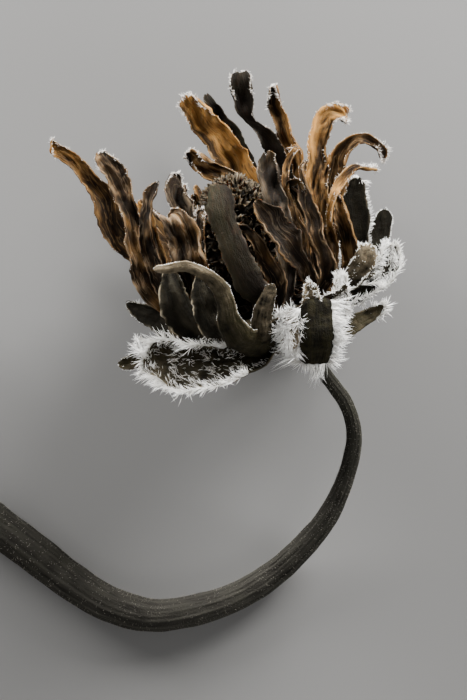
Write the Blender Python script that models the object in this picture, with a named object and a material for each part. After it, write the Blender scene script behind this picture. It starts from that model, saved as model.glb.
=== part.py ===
"""A dried sunflower on its curved stem, picked and laid on its side.

Four pieces: the stem, the involucre (receptacle with its bracts), the ring of ray florets and the disc of
tube florets. Every shape is worked out in millimetres and written to Blender in metres. +X runs across the
head, +Y the way the flower points as it lies, and +Z up from the surface that it lies on.
"""

import math
from collections import namedtuple

import bmesh
import bpy
import numpy as np

MM = 0.001
GAP = 0.3  # between two pieces that only touch

# The head: the middle of its rim and the way it faces.
HEAD = np.array([25.0, 12.0, 31.0])
FACING_ANGLE = math.radians(103.0)  # from +X, seen from above
FACING_LIFT = math.radians(10.0)  # above level
RIM_RADIUS = 22.6

# The ring that the ray florets grow from lies on the rim, round the disc.
COLLAR_INNER = 17.4
COLLAR_OUTER = 20.6
COLLAR_HEIGHT = 2.6
COLLAR_STEPS = 36
RAY_ROOT_RADIUS = 19.0
RAY_THICK = 0.7
RAY_STATIONS = 9

# Bracts grow in two whorls: just under the rim, and half way from it to the neck.
BRACT_RADII = (20.8, 15.5)
BRACT_DEPTHS = (2.2, 5.4)
BRACT_CLEAR = 22.4  # from the axis, where bracts pass the collar
BRACT_THICK = 0.9
BRACT_STATIONS = 6
RECEPTACLE_LEAN = 3.0  # how far its middle shifts towards the neck's side at the lower whorl
RECEPTACLE_SIDES = 32

# The disc: a tall dome packed with tube florets in a golden-angle spiral. Ray florets stay outside the clear
# dome round it, each one a step further out than the last in rounds of CLEAR_STEPS, so that no two lie pressed
# onto one surface.
DOME_RADIUS = 12.4
DOME_HEIGHT = 32.0
FLORET_COUNT = 120
FLORET_REACH = 3.0
FLORET_SIZE = 1.1
FLORET_SIDES = 5
GOLDEN_ANGLE = math.pi * (3.0 - math.sqrt(5.0))
CLEAR_RADIUS = 16.6
CLEAR_HEIGHT = 36.2
CLEAR_STEP = 0.05
CLEAR_STEPS = 7

STEM_SIDES = 12
STEM_STATIONS = 40
FLOOR_CONTACT = math.cos(math.pi / STEM_SIDES)  # a facet, not a corner, faces down

AXIS = np.array(
    [
        math.cos(FACING_ANGLE) * math.cos(FACING_LIFT),
        math.sin(FACING_ANGLE) * math.cos(FACING_LIFT),
        math.sin(FACING_LIFT),
    ]
)
ACROSS = np.array([math.sin(FACING_ANGLE), -math.cos(FACING_ANGLE), 0.0])
FRONT = np.cross(ACROSS, AXIS)
UP = np.array([0.0, 0.0, 1.0])

# One ray floret or bract. azimuth is where it grows round the rim, in degrees: 0 is right, 90 is on top of
# the lying head, 180 left and 270 underneath. path holds the points that its rib passes, in millimetres from
# the middle of the rim. lie is the angle of its face to the surface, 0 for flat and 90 for on edge, and
# widths its width, both at even steps from root to tip. Near its root it turns to face the head's axis. cup
# is the half angle that its section bends through, and wave the height of its edge's waves.
Blade = namedtuple("Blade", "azimuth path lie widths cup wave")

# Ray florets that show from above, left to right.
RAYS = {
    "far_left": Blade(
        186, [(-29, 12, -3), (-36, 21.2, -3), (-38.9, 28.7, -2), (-42.6, 33.7, -1),
              (-46.4, 37.2, 0), (-49.8, 39.8, 1), (-51, 40.6, 2), (-50.4, 41.6, 3)],
        (60, 30, 5, -10, -20),
        (3.4, 3.8, 4.2, 4.4, 4.8, 6.0, 7.4, 7.8, 6.6, 5.0, 4.4, 4.0, 3.4), 50, 0.5),
    "left_veined": Blade(
        168, [(-28.2, 10, 5), (-29.4, 15, 6), (-30.9, 22, 7), (-33, 28.7, 7), (-35.5, 33.7, 6.5),
              (-38, 37.5, 6), (-39.2, 39.2, 5)],
        (30, 10, -10, 0, 15),
        (4.2, 5.6, 6.8, 7.6, 7.8, 7.6, 6.2, 4.8, 4.6, 6.0, 6.6, 5.0, 3.8), 36, 0.4),
    "left_dark": Blade(
        152, [(-25.3, 12, 10), (-26.5, 18.7, 11), (-26.7, 24.5, 11), (-25.5, 28.2, 10), (-24, 30.7, 9)],
        (20, 30, 45), (3.4, 4.6, 5.2, 4.6, 2.2), 42, 0.4),
    "crumpled": Blade(
        138, [(-15.4, 8, 15.5), (-17, 13.5, 17), (-18.6, 18.5, 17.4), (-20.8, 21.6, 16), (-22.2, 21, 13.4)],
        (0, 10, 0, -20), (4.2, 7.2, 9.0, 8.2, 5.0), 34, 1.0),
    "left_hooked": Blade(
        158, [(-17.6, 9, 6), (-16.9, 18, 6), (-18.4, 25.3, 5), (-20, 28.6, 4),
              (-20, 31, 2.5), (-18.2, 31.2, 0.5)],
        (20, 10, 0, -30), (3.4, 5.4, 6.8, 6.6, 5.0), 42, 0.5),
    "inner_left": Blade(
        128, [(-13.4, 8, 14), (-14.2, 14, 14.6), (-14, 19.5, 14), (-13.2, 23.8, 12.5)],
        (20, 10, 20), (3.0, 3.8, 4.0, 2.6), 45, 0.6),
    "small_curl": Blade(
        236, [(-8, 18, -13), (-4.6, 30, -9), (-5.4, 33, -8), (-8.7, 34.6, -7.5), (-12.2, 36, -7),
              (-14.7, 37.8, -6), (-17.4, 39.4, -5)],
        (40, 20, 0, 0), (3.0, 3.0, 3.0, 3.4, 5.2, 5.4), 50, 0.6),
    "orange_broad": Blade(
        256, [(0.2, 20, -14), (-2, 30, -12.5), (-5.2, 37.5, -11.5), (-9.5, 43.5, -10.5), (-13, 48, -10),
              (-15.8, 51.8, -9.5), (-17.2, 54.8, -9)],
        (10, 5, 0, 12), (3.4, 5.8, 8.2, 9.4, 8.8, 7.6, 6.6), 36, 0.3),
    "back_olive": Blade(
        264, [(2, 24, -20), (-1.5, 36, -19.5), (-6.2, 46.2, -19), (-11.2, 52.5, -18.5), (-13.4, 56, -18)],
        (20, 10, -20), (3.0, 3.0, 3.4, 4.2, 4.2, 3.0), 30, 0.2),
    "twisted_spoon": Blade(
        288, [(8.7, 20, -18), (9.6, 30, -17), (8.7, 37.5, -16), (5.7, 41.7, -16), (2.7, 45, -15.5),
              (-1.7, 49.5, -15), (-3.4, 54.4, -14.3), (-4.2, 61.2, -13)],
        (15, 10, 20, 30, 10, 5),
        (3.2, 3, 2.8, 2.8, 3, 3.8, 5, 6, 6.2, 4.8, 2.2, 4.8, 5.8, 5.6), 24, 0.15),
    "tall_twist": Blade(
        308, [(13.6, 18, -13), (13.2, 27.5, -11), (12, 33.7, -10), (10, 40, -9),
              (7.7, 45, -8.5), (6, 49.5, -8), (4.8, 53.2, -8), (5, 56.8, -7.5)],
        (10, 30, 60, 20, 30), (3.2, 3.2, 2.8, 3.6, 4.8, 4.2, 3.4), 48, 0.4),
    "bright_strap": Blade(
        22, [(17.9, 13.7, 6), (16.4, 18.7, 5.5), (15.2, 25, 4.5), (14.7, 31.2, 3.5), (15, 37.5, 2.5),
             (15.5, 43, 1.5), (16.2, 46.8, 0.8), (17.8, 48.7, 0), (20, 48.8, -1), (21.4, 47.4, -2)],
        (20, 10, 0, -10), (3.6, 4.4, 5.6, 6.4, 6.4, 5.6, 5.4, 5.4), 40, 0.5),
    "arched": Blade(
        340, [(18.8, 20, -6), (18.6, 28.7, -5.5), (19.8, 33.7, -5), (21.2, 38, -4.5), (22.8, 41, -4),
              (25.2, 43, -4), (27.9, 43.2, -4), (30.3, 41.5, -4), (32.2, 38.3, -4)],
        (15, 10, 10, 20, 30), (3.4, 4.4, 5.8, 7.2, 7.4, 4.4, 2.8, 2.6), 40, 0.4),
    "pale_hook": Blade(
        354, [(18.2, 17, 5), (17.8, 25, 8), (20.2, 29.6, 6.5), (22.3, 33.2, 4.5), (24.6, 35.2, 3.5),
              (27, 35, 3), (29.4, 35.5, 3)],
        (20, 20, 30, 40), (2.4, 1.8, 1.7, 1.8, 2.8, 3.0, 2.4), 45, 0.3),
    "right_short": Blade(
        8, [(23, 10, 5), (22.4, 18.7, 7), (21, 23.7, 7.5), (20, 28.2, 6.5)],
        (15, 20, 30), (3.6, 5.0, 5.6, 4.6, 1.8), 58, 0.5),
    "right_front": Blade(
        42, [(16.8, 10, 15.2), (14.5, 18, 14.5), (12.2, 26, 12.5), (11.2, 33, 10), (11.5, 37, 9)],
        (0, 15, 30), (3.8, 5.0, 4.8, 3.6, 1.8), 45, 0.5),
    "front_petal": Blade(
        54, [(12.4, 5.5, 18.4), (10.6, 10.9, 20.8), (7.5, 14.7, 21.8), (4.2, 18.6, 22), (1.6, 23.2, 21.4),
             (0.25, 25.8, 20.4)],
        (-10, -5, -15, 0), (3.4, 4.0, 5.4, 8.6, 7.8, 2.8), 46, 0.1),
    "front_curl": Blade(
        80, [(4.5, 5.5, 19.8), (2, 12, 20.8), (-0.7, 16.5, 20.8), (-3.5, 19.3, 20.8), (-6.2, 18.8, 21),
             (-7.2, 17, 21.5)],
        (10, 10, 10, 25), (3.6, 5.4, 5.0, 3.2, 2.4, 2.0), 42, 0.5),
    "front_long": Blade(
        88, [(1.2, 2, 22.6), (-2.2, 5.6, 25), (-5.4, 13, 27), (-8.2, 21, 27.5), (-9.2, 26, 27),
             (-9.8, 29.6, 25.8)],
        (0, 5, -10), (4.2, 6.6, 7.8, 7.0, 6.4, 7.4, 6.6), -30, 0.15),
    "middle_brown": Blade(
        72, [(7.2, 12, 17), (5, 22, 15.5), (3.6, 29, 13.5), (3, 34, 11.5), (2.6, 37.8, 10)],
        (0, -10, 15), (3.4, 4.8, 6.2, 6.2, 5.0), 36, 0.4),
    "middle_curl": Blade(
        50, [(11.4, 18, 11.5), (8, 26, 9), (6.9, 32.5, 8), (8.2, 38, 7), (9.6, 39.6, 6.5), (8, 40.4, 6)],
        (30, 25, 0), (2.8, 3.0, 2.6, 2.4, 2.0, 1.6), 45, 0.4),
    "inner_ring": Blade(
        30, [(13.6, 19, 8), (10.4, 27.5, 8.5), (8, 30.4, 9.5), (9.8, 31.4, 10.6), (11.6, 28.8, 11)],
        (20, 40, 20), (2.6, 3.0, 2.8, 2.2, 1.6), 50, 0.4),
    "left_behind": Blade(
        174, [(-23.6, 8, 1), (-25.8, 15, 1.5), (-27.6, 21, 2), (-29.6, 26.4, 2.5)],
        (20, 10, 0), (3.6, 5.6, 6.4, 5.8, 3.6), 40, 0.4),
}

# Bracts that show from above, left to right and round the stem, each with its whorl.
BRACTS = {
    "left_point": (0, Blade(
        184, [(-24.2, -2.4, -6), (-28.5, -0.6, -7), (-33, 2, -8)],
        (20, 10, 10), (5.4, 6.4, 6.4, 4.6, 1.4), 30, 0.3)),
    "left_boat": (1, Blade(
        100, [(-2, -13.2, 16.4), (-8.4, -15, 16), (-14.6, -14.8, 14.5), (-21, -13, 12.5),
              (-26.8, -10.8, 10)],
        (-30, -25, -5, 10), (7.0, 10.0, 13.0, 13.4, 9.0), 55, 0.5)),
    "left_under": (1, Blade(
        172, [(-13, -14, 4), (-19, -14, 3.5), (-25, -10.6, 2), (-29.5, -7.4, 1)],
        (-20, -10, 10), (6.6, 7.2, 5.4, 2.0), 45, 0.5)),
    "left_low": (1, Blade(
        200, [(-22, -9.6, -12), (-28.6, -12.2, -14), (-35.2, -13.6, -15)],
        (20, 10, 0), (5.0, 6.0, 6.4, 5.4, 2.6), 30, 0.3)),
    "left_inner": (0, Blade(
        134, [(-15.6, -5, 17), (-18.6, 0, 19.5), (-20.4, 4.6, 20.6), (-21.6, 9.4, 20)],
        (0, -20, -10), (7.2, 9.4, 8.4, 3.0), -36, 0.5)),
    "left_middle": (0, Blade(
        113, [(-8.6, -5.6, 21.4), (-11, -1, 23.6), (-12.4, 3.6, 24.8), (-13, 8.6, 24.6)],
        (0, -10, 0), (7.0, 9.0, 8.0, 3.0), -36, 0.5)),
    "front_arch": (1, Blade(
        86, [(-0.6, -9, 21), (-4.4, -7.6, 24.8), (-6.9, -3.4, 27.6), (-7.8, 1, 29.2), (-9.9, 5.2, 30.2),
             (-13.2, 8.2, 30.6), (-17.3, 9.2, 30.2), (-22, 9.2, 28.8), (-24.7, 8.9, 26.8)],
        (-20, 10, 25, 20), (6.0, 7.6, 8.6, 7.6, 5.0, 4.3, 3.3, 2.6, 1.8), -36, 0.3)),
    "front_inner": (0, Blade(
        94, [(0.6, -6.4, 22.2), (0.6, -3, 24.4), (2, 1, 25.6), (3, 5.6, 26)],
        (0, 0, 10), (5.0, 5.0, 4.4, 2.4), -26, 0.3)),
    "front_gap": (0, Blade(
        76, [(6.4, -1.2, 21.6), (7.6, -3, 23.4), (8, -6.4, 23), (7.6, -9.8, 21.6)],
        (0, 0, 0), (5.0, 5.2, 5.0, 3.6), -28, 0.4)),
    "front_tuft": (0, Blade(
        58, [(12.8, 0.6, 21.2), (12.6, 3.6, 22.6), (12.2, 6.0, 22.4)],
        (0, 0, 0), (4.6, 5.2, 4.4, 2.6), 28, 0.4)),
    "front_square": (0, Blade(
        60, [(12, 0.4, 20.4), (13.2, 1.6, 23.2), (13.7, -4, 24.4), (13.6, -9.6, 22.4), (13.5, -13.4, 20)],
        (10, 0, 0, -5), (6.4, 7.8, 8.4, 8.4, 8.2), -24, 0.2)),
    "right_ridge": (1, Blade(
        36, [(18.4, -5.6, 14), (19.3, -0.6, 16.4), (20, 4.4, 17), (20.4, 8.2, 16)],
        (-10, 0, 5, 0), (5.0, 4.6, 4.4, 4.0, 2.6), 35, 0.3)),
    "right_curl": (0, Blade(
        26, [(21.8, 6, 12.6), (24.2, 8.8, 14), (26, 12, 14.2), (26.3, 15.4, 12.6)],
        (0, 0, 10), (3.6, 3.2, 4.6, 7.2, 7.6, 5.6), 75, 0.6)),
    "right_under": (1, Blade(
        14, [(20.4, -0.4, 9), (23.2, 4.0, 10.5), (27, 4.9, 10.5), (30.4, 5.8, 10)],
        (0, 0, 0), (5.0, 4.4, 3.8, 3.4, 1.6), 50, 0.3)),
    "right_brush": (0, Blade(
        2, [(23.6, 3.6, 4), (27.8, 6.4, 5.4), (31.2, 9, 6), (32.6, 12.6, 5), (32.4, 16.2, 3.6)],
        (-10, 0, 0, 10), (5.4, 6.0, 6.4, 7.2, 6.4, 3.6), 60, 0.5)),
    "right_back": (1, Blade(
        342, [(21.5, -5.4, -8), (25.5, -3, -9), (29.5, -0.6, -10), (32.6, 0.9, -10.5)],
        (10, 5, 0), (5.0, 4.8, 4.0, 2.4), 25, 0.3)),
    "right_upright": (0, Blade(
        332, [(24.6, 6, -11), (25.2, 14.5, -12), (25.4, 25, -12), (25.2, 30.5, -12), (25.6, 34, -12)],
        (30, 15, 5), (5.0, 6.2, 7.2, 7.8, 7.2, 4.4), 30, 0.2)),
    "back_point": (0, Blade(
        316, [(25.6, 9, -18.5), (30.8, 17, -21), (32.8, 22.5, -21.5), (33.8, 26.6, -21.5)],
        (10, 5, 0), (4.6, 4.8, 5.6, 6.2, 3.8), 30, 0.2)),
}

# Runs of blades alike, mostly underneath: azimuths from first to last, how many, their whorl, lean from the
# head's axis, droop towards the tip, length, and widths at even steps.
Run = namedtuple("Run", "first last count whorl lean droop length widths")
RAY_RUNS = [
    Run(194, 224, 4, 0, 22, 2, 25, (3.2, 5.2, 5.8, 4.6, 2.4)),
    Run(233, 308, 9, 0, 26, 2, 33, (3.2, 5.4, 6.4, 5.0, 2.6)),
    Run(318, 342, 3, 0, 18, 2, 22, (3.2, 5.0, 5.4, 4.2, 2.2)),
    Run(238, 300, 5, 0, 6, 4, 27, (3.0, 4.6, 5.0, 3.8, 2.2)),
]
BRACT_RUNS = [
    Run(47, 18, 2, 0, 50, 16, 12, (6.4, 6.4, 5.0, 1.2)),
    Run(213, 302, 6, 0, 56, 22, 17, (6.4, 6.4, 5.0, 1.2)),
    Run(218, 316, 6, 1, 82, 22, 16, (6.4, 6.2, 4.8, 1.2)),
]
RULE_SEED = 23
AZIMUTH_JITTER = 2.5
LEAN_JITTER = 5.0
DROOP_JITTER = 12.0
LENGTH_JITTER = 0.08
TWIST_JITTER = 35.0
SWAY_JITTER = 0.16

# The stem's centre line from the neck, round the hook, to the stretch that lies on the surface, in
# millimetres from the middle of the rim, with its radius at each point.
STEM_LINE = [
    (13.8, -12.5, -0.6, 1.7), (16.3, -15.3, -1.6, 1.75), (19.4, -19.1, -3.4, 1.75), (22.3, -23.1, -5.6, 1.8),
    (24.2, -27.8, -8, 1.85), (24.9, -32.5, -10.6, 1.95), (24.1, -38.8, -14, 2.1), (21.9, -46.2, -17.6, 2.35),
    (18.5, -53.5, -20.8, 2.7), (12.8, -61, -24, 3.1), (5, -68.6, -27, 3.4), (-5.5, -75.1, -28.6, 3.7),
    (-17.3, -78.8, -29, 4), (-27.9, -79.8, -29, 4.3), (-38.4, -76.9, -29, 4.6), (-48.9, -70.5, -29, 4.8),
    (-58.1, -63.4, -29, 5), (-67.3, -56.6, -29, 5.1), (-76.5, -49.5, -29, 5.15), (-83.6, -43.7, -29, 5.2),
]


# Lines and sheets of points.


def unit(vector):
    return vector / np.linalg.norm(vector)


def around(azimuth):
    """The direction from the head's axis at an azimuth in degrees."""
    turn = math.radians(azimuth)
    return ACROSS * math.cos(turn) + FRONT * math.sin(turn)


def run_through(at, values, where):
    """A smooth run through the values that stand at the given places, read off at other places."""
    values = np.asarray(values, float)
    slopes = np.gradient(values, at, axis=0)
    span = np.clip(np.searchsorted(at, where, side="right") - 1, 0, len(at) - 2)
    shape = (-1,) + (1,) * (values.ndim - 1)
    width = (at[span + 1] - at[span]).reshape(shape)
    t = (where - at[span]).reshape(shape) / width
    return (
        (2 * t**3 - 3 * t**2 + 1) * values[span]
        + (t**3 - 2 * t**2 + t) * width * slopes[span]
        + (3 * t**2 - 2 * t**3) * values[span + 1]
        + (t**3 - t**2) * width * slopes[span + 1]
    )


def spread(values, t):
    """A smooth run through values that stand at even steps from root to tip."""
    return run_through(np.linspace(0.0, 1.0, len(values)), values, t)


def smooth_line(points, stations):
    """Points at equal steps along a smooth curve through the given ones. A row may hold a radius as well."""
    points = np.array(points, float)
    steps = np.linalg.norm(np.diff(points[:, :3], axis=0), axis=1)
    at = np.concatenate([[0.0], np.cumsum(steps)])
    line = run_through(at, points, np.linspace(0.0, at[-1], 24 * len(points)))
    run = np.concatenate([[0.0], np.cumsum(np.linalg.norm(np.diff(line[:, :3], axis=0), axis=1))])
    even = np.linspace(0.0, run[-1], stations)
    return np.stack([np.interp(even, run, line[:, k]) for k in range(line.shape[1])], axis=1)


def carried_sides(line):
    """Unit tangents and sideways directions along a line, turned as little as possible from its middle."""
    tangents = np.gradient(line, axis=0)
    tangents /= np.linalg.norm(tangents, axis=1)[:, None]
    sides = np.zeros_like(line)
    middle = len(line) // 2
    side = np.cross(tangents[middle], UP)
    if np.linalg.norm(side) < 0.2:
        side = np.cross(tangents[middle], AXIS)
    for order in (range(middle, len(line)), range(middle, -1, -1)):
        carried = side
        for i in order:
            carried = unit(carried - tangents[i] * (carried @ tangents[i]))
            sides[i] = carried
    return tangents, sides


def ease(t):
    return 0.5 - 0.5 * np.cos(np.pi * np.clip(t, 0.0, 1.0))


def blade_sheet(blade, root, along, across, thick):
    """The middle surface of a blade, as (along + 1) rows of (across + 1) points in the part's own frame."""
    line = smooth_line([root] + [HEAD + np.array(p) for p in blade.path], along + 1)
    tangents, sides = carried_sides(line)
    normals = np.cross(sides, tangents)
    t = np.linspace(0.0, 1.0, along + 1)
    s = np.linspace(-1.0, 1.0, across + 1)
    outward = around(blade.azimuth)
    facing = math.degrees(math.atan2(outward @ sides[0], -(outward @ normals[0])))
    turn = (facing - blade.lie[0] + 90) % 180 - 90
    lie = np.radians(spread(blade.lie, t) + turn * (1 - ease(t / 0.3)))[:, None]
    wide = np.cos(lie) * sides + np.sin(lie) * normals
    out = np.cos(lie) * normals - np.sin(lie) * sides
    blunt = 1.0 - 0.45 * np.clip((t - 0.93) / 0.07, 0.0, 1.0)
    half = (spread(blade.widths, t) * blunt / 2)[:, None, None]
    bend = math.radians(blade.cup)
    sweep = (np.sin(bend * s) / bend)[None, :, None]
    rise = ((1 - np.cos(bend * s)) / bend)[None, :, None]
    wave = np.outer(np.sin(t * 11.0 + blade.azimuth) * ease(t / 0.3), s * np.abs(s)) * blade.wave
    sheet = line[:, None] + wide[:, None] * half * sweep + out[:, None] * (half * rise + wave[:, :, None])
    sheet[:, :, 2] = np.maximum(sheet[:, :, 2], thick / 2 - 0.05)
    return sheet


def clear_of_disc(points, spare):
    """Moves points out of the dome that the disc and its florets fill, with some millimetres to spare."""
    offset = points - HEAD
    height = offset @ AXIS
    radial = np.linalg.norm(offset - height[..., None] * AXIS, axis=-1)
    reach = np.hypot(radial / (CLEAR_RADIUS + spare), height / (CLEAR_HEIGHT + spare))
    return HEAD + offset / np.minimum(reach, 1.0)[..., None]


def clear_of_collar(points):
    """Moves points that stand above the rim out past the rays' collar."""
    offset = points - HEAD
    height = (offset @ AXIS)[..., None]
    radial = offset - height * AXIS
    distance = np.linalg.norm(radial, axis=-1, keepdims=True)
    wanted = np.where(height > -0.5, np.maximum(distance, BRACT_CLEAR), distance)
    return points + radial * (wanted / distance - 1)


def ray_root(azimuth):
    return HEAD + around(azimuth) * RAY_ROOT_RADIUS + AXIS * (GAP + COLLAR_HEIGHT / 2)


def bract_root(whorl, azimuth):
    """A point just inside the receptacle's side."""
    middle = HEAD + ACROSS * RECEPTACLE_LEAN * whorl - AXIS * BRACT_DEPTHS[whorl]
    return middle + around(azimuth) * BRACT_RADII[whorl]


def receptacle_line(stations):
    """Centre line of the receptacle from neck to rim, with its radius at each station."""
    neck = np.array(STEM_LINE[0][:3])
    into = unit(neck - np.array(STEM_LINE[1][:3]))
    points = [
        (*(HEAD + neck + into * GAP), 2.3),
        (*(HEAD + neck + into * 2.6), 3.4),
        (*(HEAD - AXIS * 8.2 + ACROSS * 6.6), 9.0),
        (*(HEAD - AXIS * 5.2 + ACROSS * RECEPTACLE_LEAN), 17.6),
        (*(HEAD - AXIS * 2.2), RIM_RADIUS - 0.4),
        (*HEAD, RIM_RADIUS),
    ]
    return smooth_line(points, stations)


def run_blades(run, root_of, rng):
    """The blades of one run, each grown outward and up from its root, bending as it goes."""
    jitter = rng.uniform(-1, 1, run.count) * AZIMUTH_JITTER
    for azimuth in np.linspace(run.first, run.last, run.count) + jitter:
        lean, droop, size, sway, twist = rng.uniform(-1, 1, 5)
        lean = run.lean + lean * LEAN_JITTER
        droop = run.droop + droop * DROOP_JITTER
        length = run.length * (1 + size * LENGTH_JITTER)
        root = root_of(azimuth)
        outward = around(azimuth)
        beside = np.cross(AXIS, outward) * sway * SWAY_JITTER
        at = root - HEAD
        path = []
        for share in (0.125, 0.375, 0.625, 0.875):
            angle = math.radians(lean + droop * share**1.5)
            way = AXIS * math.cos(angle) + outward * math.sin(angle) + beside * share * 2
            at = at + unit(way) * length / 4
            path.append(tuple(at))
        along = unit(np.array(path[2]) - np.array(path[0]))
        side = unit(np.cross(along, UP))
        facing = math.degrees(math.atan2(outward @ side, -(outward @ np.cross(side, along))))
        lie = (facing - twist * TWIST_JITTER * 0.4, facing, facing + twist * TWIST_JITTER)
        yield root, Blade(azimuth, path, lie, run.widths, rng.uniform(25, 50), rng.uniform(0.3, 0.7))


def all_rays():
    """Every ray floret's name, root and blade."""
    rng = np.random.default_rng(RULE_SEED)
    for name, blade in RAYS.items():
        yield "ray_" + name, ray_root(blade.azimuth), blade
    for i, run in enumerate(RAY_RUNS):
        for k, (root, blade) in enumerate(run_blades(run, ray_root, rng)):
            yield f"ray_run_{i}_{k}", root, blade


def all_bracts():
    """Every bract's name, root and blade."""
    rng = np.random.default_rng(RULE_SEED + 1)
    for name, (whorl, blade) in BRACTS.items():
        yield "bract_" + name, bract_root(whorl, blade.azimuth), blade
    for i, run in enumerate(BRACT_RUNS):
        for k, (root, blade) in enumerate(run_blades(run, lambda a, w=run.whorl: bract_root(w, a), rng)):
            yield f"bract_run_{i}_{k}", root, blade


# Blender objects from those points.


def grid_mesh(points):
    """A bmesh grid whose corners are moved to the given rows of points."""
    rows, columns = points.shape[:2]
    bm = bmesh.new()
    bmesh.ops.create_grid(bm, x_segments=rows - 1, y_segments=columns - 1, size=0.5)
    for vert in bm.verts:
        i = round((vert.co.x + 0.5) * (rows - 1))
        j = round((vert.co.y + 0.5) * (columns - 1))
        vert.co = points[i, j] * MM
    return bm


def add_object(name, bm, collection=None):
    mesh = bpy.data.meshes.new(name)
    bm.to_mesh(mesh)
    bm.free()
    obj = bpy.data.objects.new(name, mesh)
    (collection or bpy.context.scene.collection).objects.link(obj)
    return obj


def new_collection(name):
    collection = bpy.data.collections.new(name)
    bpy.context.scene.collection.children.link(collection)
    return collection


def blade_object(name, sheet, thick, collection):
    """A blade as a closed solid, split into triangles alike on both faces."""
    bm = grid_mesh(sheet)
    bmesh.ops.triangulate(bm, faces=bm.faces)
    obj = add_object(name, bm, collection)
    shell = obj.modifiers.new("thickness", "SOLIDIFY")
    shell.thickness = thick * MM
    shell.offset = 0.0
    return obj


def tube_mesh(line, radii, normals, sides, reference):
    """A closed tube of rings, each with its own radius and square to its own normal."""
    turns = (np.arange(sides + 1) + 0.5) * 2 * np.pi / sides
    rings = []
    for centre, radius, normal in zip(line, radii, normals):
        down = unit(reference - normal * (reference @ normal))
        side = np.cross(normal, down)
        rings.append(centre + radius * (np.outer(np.cos(turns), down) + np.outer(np.sin(turns), side)))
    bm = grid_mesh(np.array(rings))
    bmesh.ops.remove_doubles(bm, verts=bm.verts, dist=1e-6)
    bmesh.ops.holes_fill(bm, edges=[e for e in bm.edges if e.is_boundary], sides=0)
    bmesh.ops.recalc_face_normals(bm, faces=bm.faces)
    return bm


def collar_mesh():
    """The flat ring under the ray florets, turned round the head's axis from its section."""
    top = GAP + COLLAR_HEIGHT
    section = [
        (COLLAR_INNER, GAP), (COLLAR_OUTER, GAP), (COLLAR_OUTER, top - 0.8), (COLLAR_OUTER - 0.8, top),
        (COLLAR_INNER, top),
    ]
    bm = bmesh.new()
    verts = [bm.verts.new((HEAD + ACROSS * radius + AXIS * height) * MM) for radius, height in section]
    edges = [bm.edges.new(pair) for pair in zip(verts, verts[1:] + verts[:1])]
    bmesh.ops.spin(
        bm,
        geom=verts + edges,
        cent=HEAD * MM,
        axis=AXIS,
        angle=2 * math.pi,
        steps=COLLAR_STEPS,
        use_merge=True,
    )
    bmesh.ops.recalc_face_normals(bm, faces=bm.faces)
    return bm


def join(base, collection):
    """One Boolean union of everything in a collection into the base object, applied."""
    union = base.modifiers.new("union", "BOOLEAN")
    union.operation = "UNION"
    union.operand_type = "COLLECTION"
    union.collection = collection
    union.solver = "EXACT"
    apply_modifiers(base)
    for piece in list(collection.objects):
        bpy.data.objects.remove(piece)
    bpy.data.collections.remove(collection)


def apply_modifiers(obj):
    evaluated = obj.evaluated_get(bpy.context.evaluated_depsgraph_get())
    mesh = bpy.data.meshes.new_from_object(evaluated)
    obj.modifiers.clear()
    obj.data = mesh


def trim_at_floor(obj):
    """Cuts the small flat spots where the head rests."""
    bm = bmesh.new()
    bmesh.ops.create_cube(bm, size=0.4)
    bmesh.ops.translate(bm, vec=(0, 0, -0.2), verts=bm.verts)
    cutter = add_object("floor_cutter", bm)
    cut = obj.modifiers.new("floor", "BOOLEAN")
    cut.operation = "DIFFERENCE"
    cut.object = cutter
    cut.solver = "EXACT"
    apply_modifiers(obj)
    bpy.data.objects.remove(cutter)


def dress(obj, name, colour, roughness):
    material = bpy.data.materials.new(name)
    material.use_nodes = True
    shader = material.node_tree.nodes["Principled BSDF"]
    shader.inputs["Base Color"].default_value = (*colour, 1.0)
    shader.inputs["Roughness"].default_value = roughness
    obj.data.materials.clear()
    obj.data.materials.append(material)


def build_rays():
    collection = new_collection("ray_pieces")
    for number, (name, root, blade) in enumerate(all_rays()):
        spare = CLEAR_STEP * (number % CLEAR_STEPS)
        sheet = clear_of_disc(blade_sheet(blade, root, RAY_STATIONS, 2, RAY_THICK), spare)
        blade_object(name, sheet, RAY_THICK, collection)
    rays = add_object("ray_florets", collar_mesh())
    join(rays, collection)
    trim_at_floor(rays)
    dress(rays, "dried_petal", (0.16, 0.07, 0.02), 0.6)


def build_involucre():
    collection = new_collection("bract_pieces")
    for name, root, blade in all_bracts():
        sheet = clear_of_collar(blade_sheet(blade, root, BRACT_STATIONS, 2, BRACT_THICK))
        blade_object(name, sheet, BRACT_THICK, collection)
    line = receptacle_line(10)
    normals = np.gradient(line[:, :3], axis=0)
    shares = ease(np.linspace(0.0, 1.6, len(line)))
    turned = np.array([unit(unit(n) * (1 - share) + AXIS * share) for n, share in zip(normals, shares)])
    body = add_object("involucre", tube_mesh(line[:, :3], line[:, 3], turned, RECEPTACLE_SIDES, ACROSS))
    join(body, collection)
    trim_at_floor(body)
    dress(body, "dried_bract", (0.06, 0.055, 0.03), 0.8)


def build_disc():
    bm = bmesh.new()
    bmesh.ops.create_uvsphere(bm, u_segments=32, v_segments=12, radius=1.0)
    whole = bm.verts[:] + bm.edges[:] + bm.faces[:]
    bmesh.ops.bisect_plane(bm, geom=whole, plane_co=(0, 0, 0), plane_no=(0, 0, 1), clear_inner=True)
    bmesh.ops.holes_fill(bm, edges=[e for e in bm.edges if e.is_boundary], sides=0)
    for vert in bm.verts:
        x, y, z = vert.co
        place = HEAD + (ACROSS * x + FRONT * y) * DOME_RADIUS + AXIS * (GAP + z * DOME_HEIGHT)
        vert.co = place * MM
    bmesh.ops.recalc_face_normals(bm, faces=bm.faces)
    disc = add_object("disc_florets", bm)
    collection = new_collection("floret_pieces")
    florets = bmesh.new()
    for k in range(FLORET_COUNT):
        add_floret(florets, k)
    add_object("florets", florets, collection)
    join(disc, collection)
    dress(disc, "dried_floret", (0.07, 0.045, 0.025), 0.8)


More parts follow.
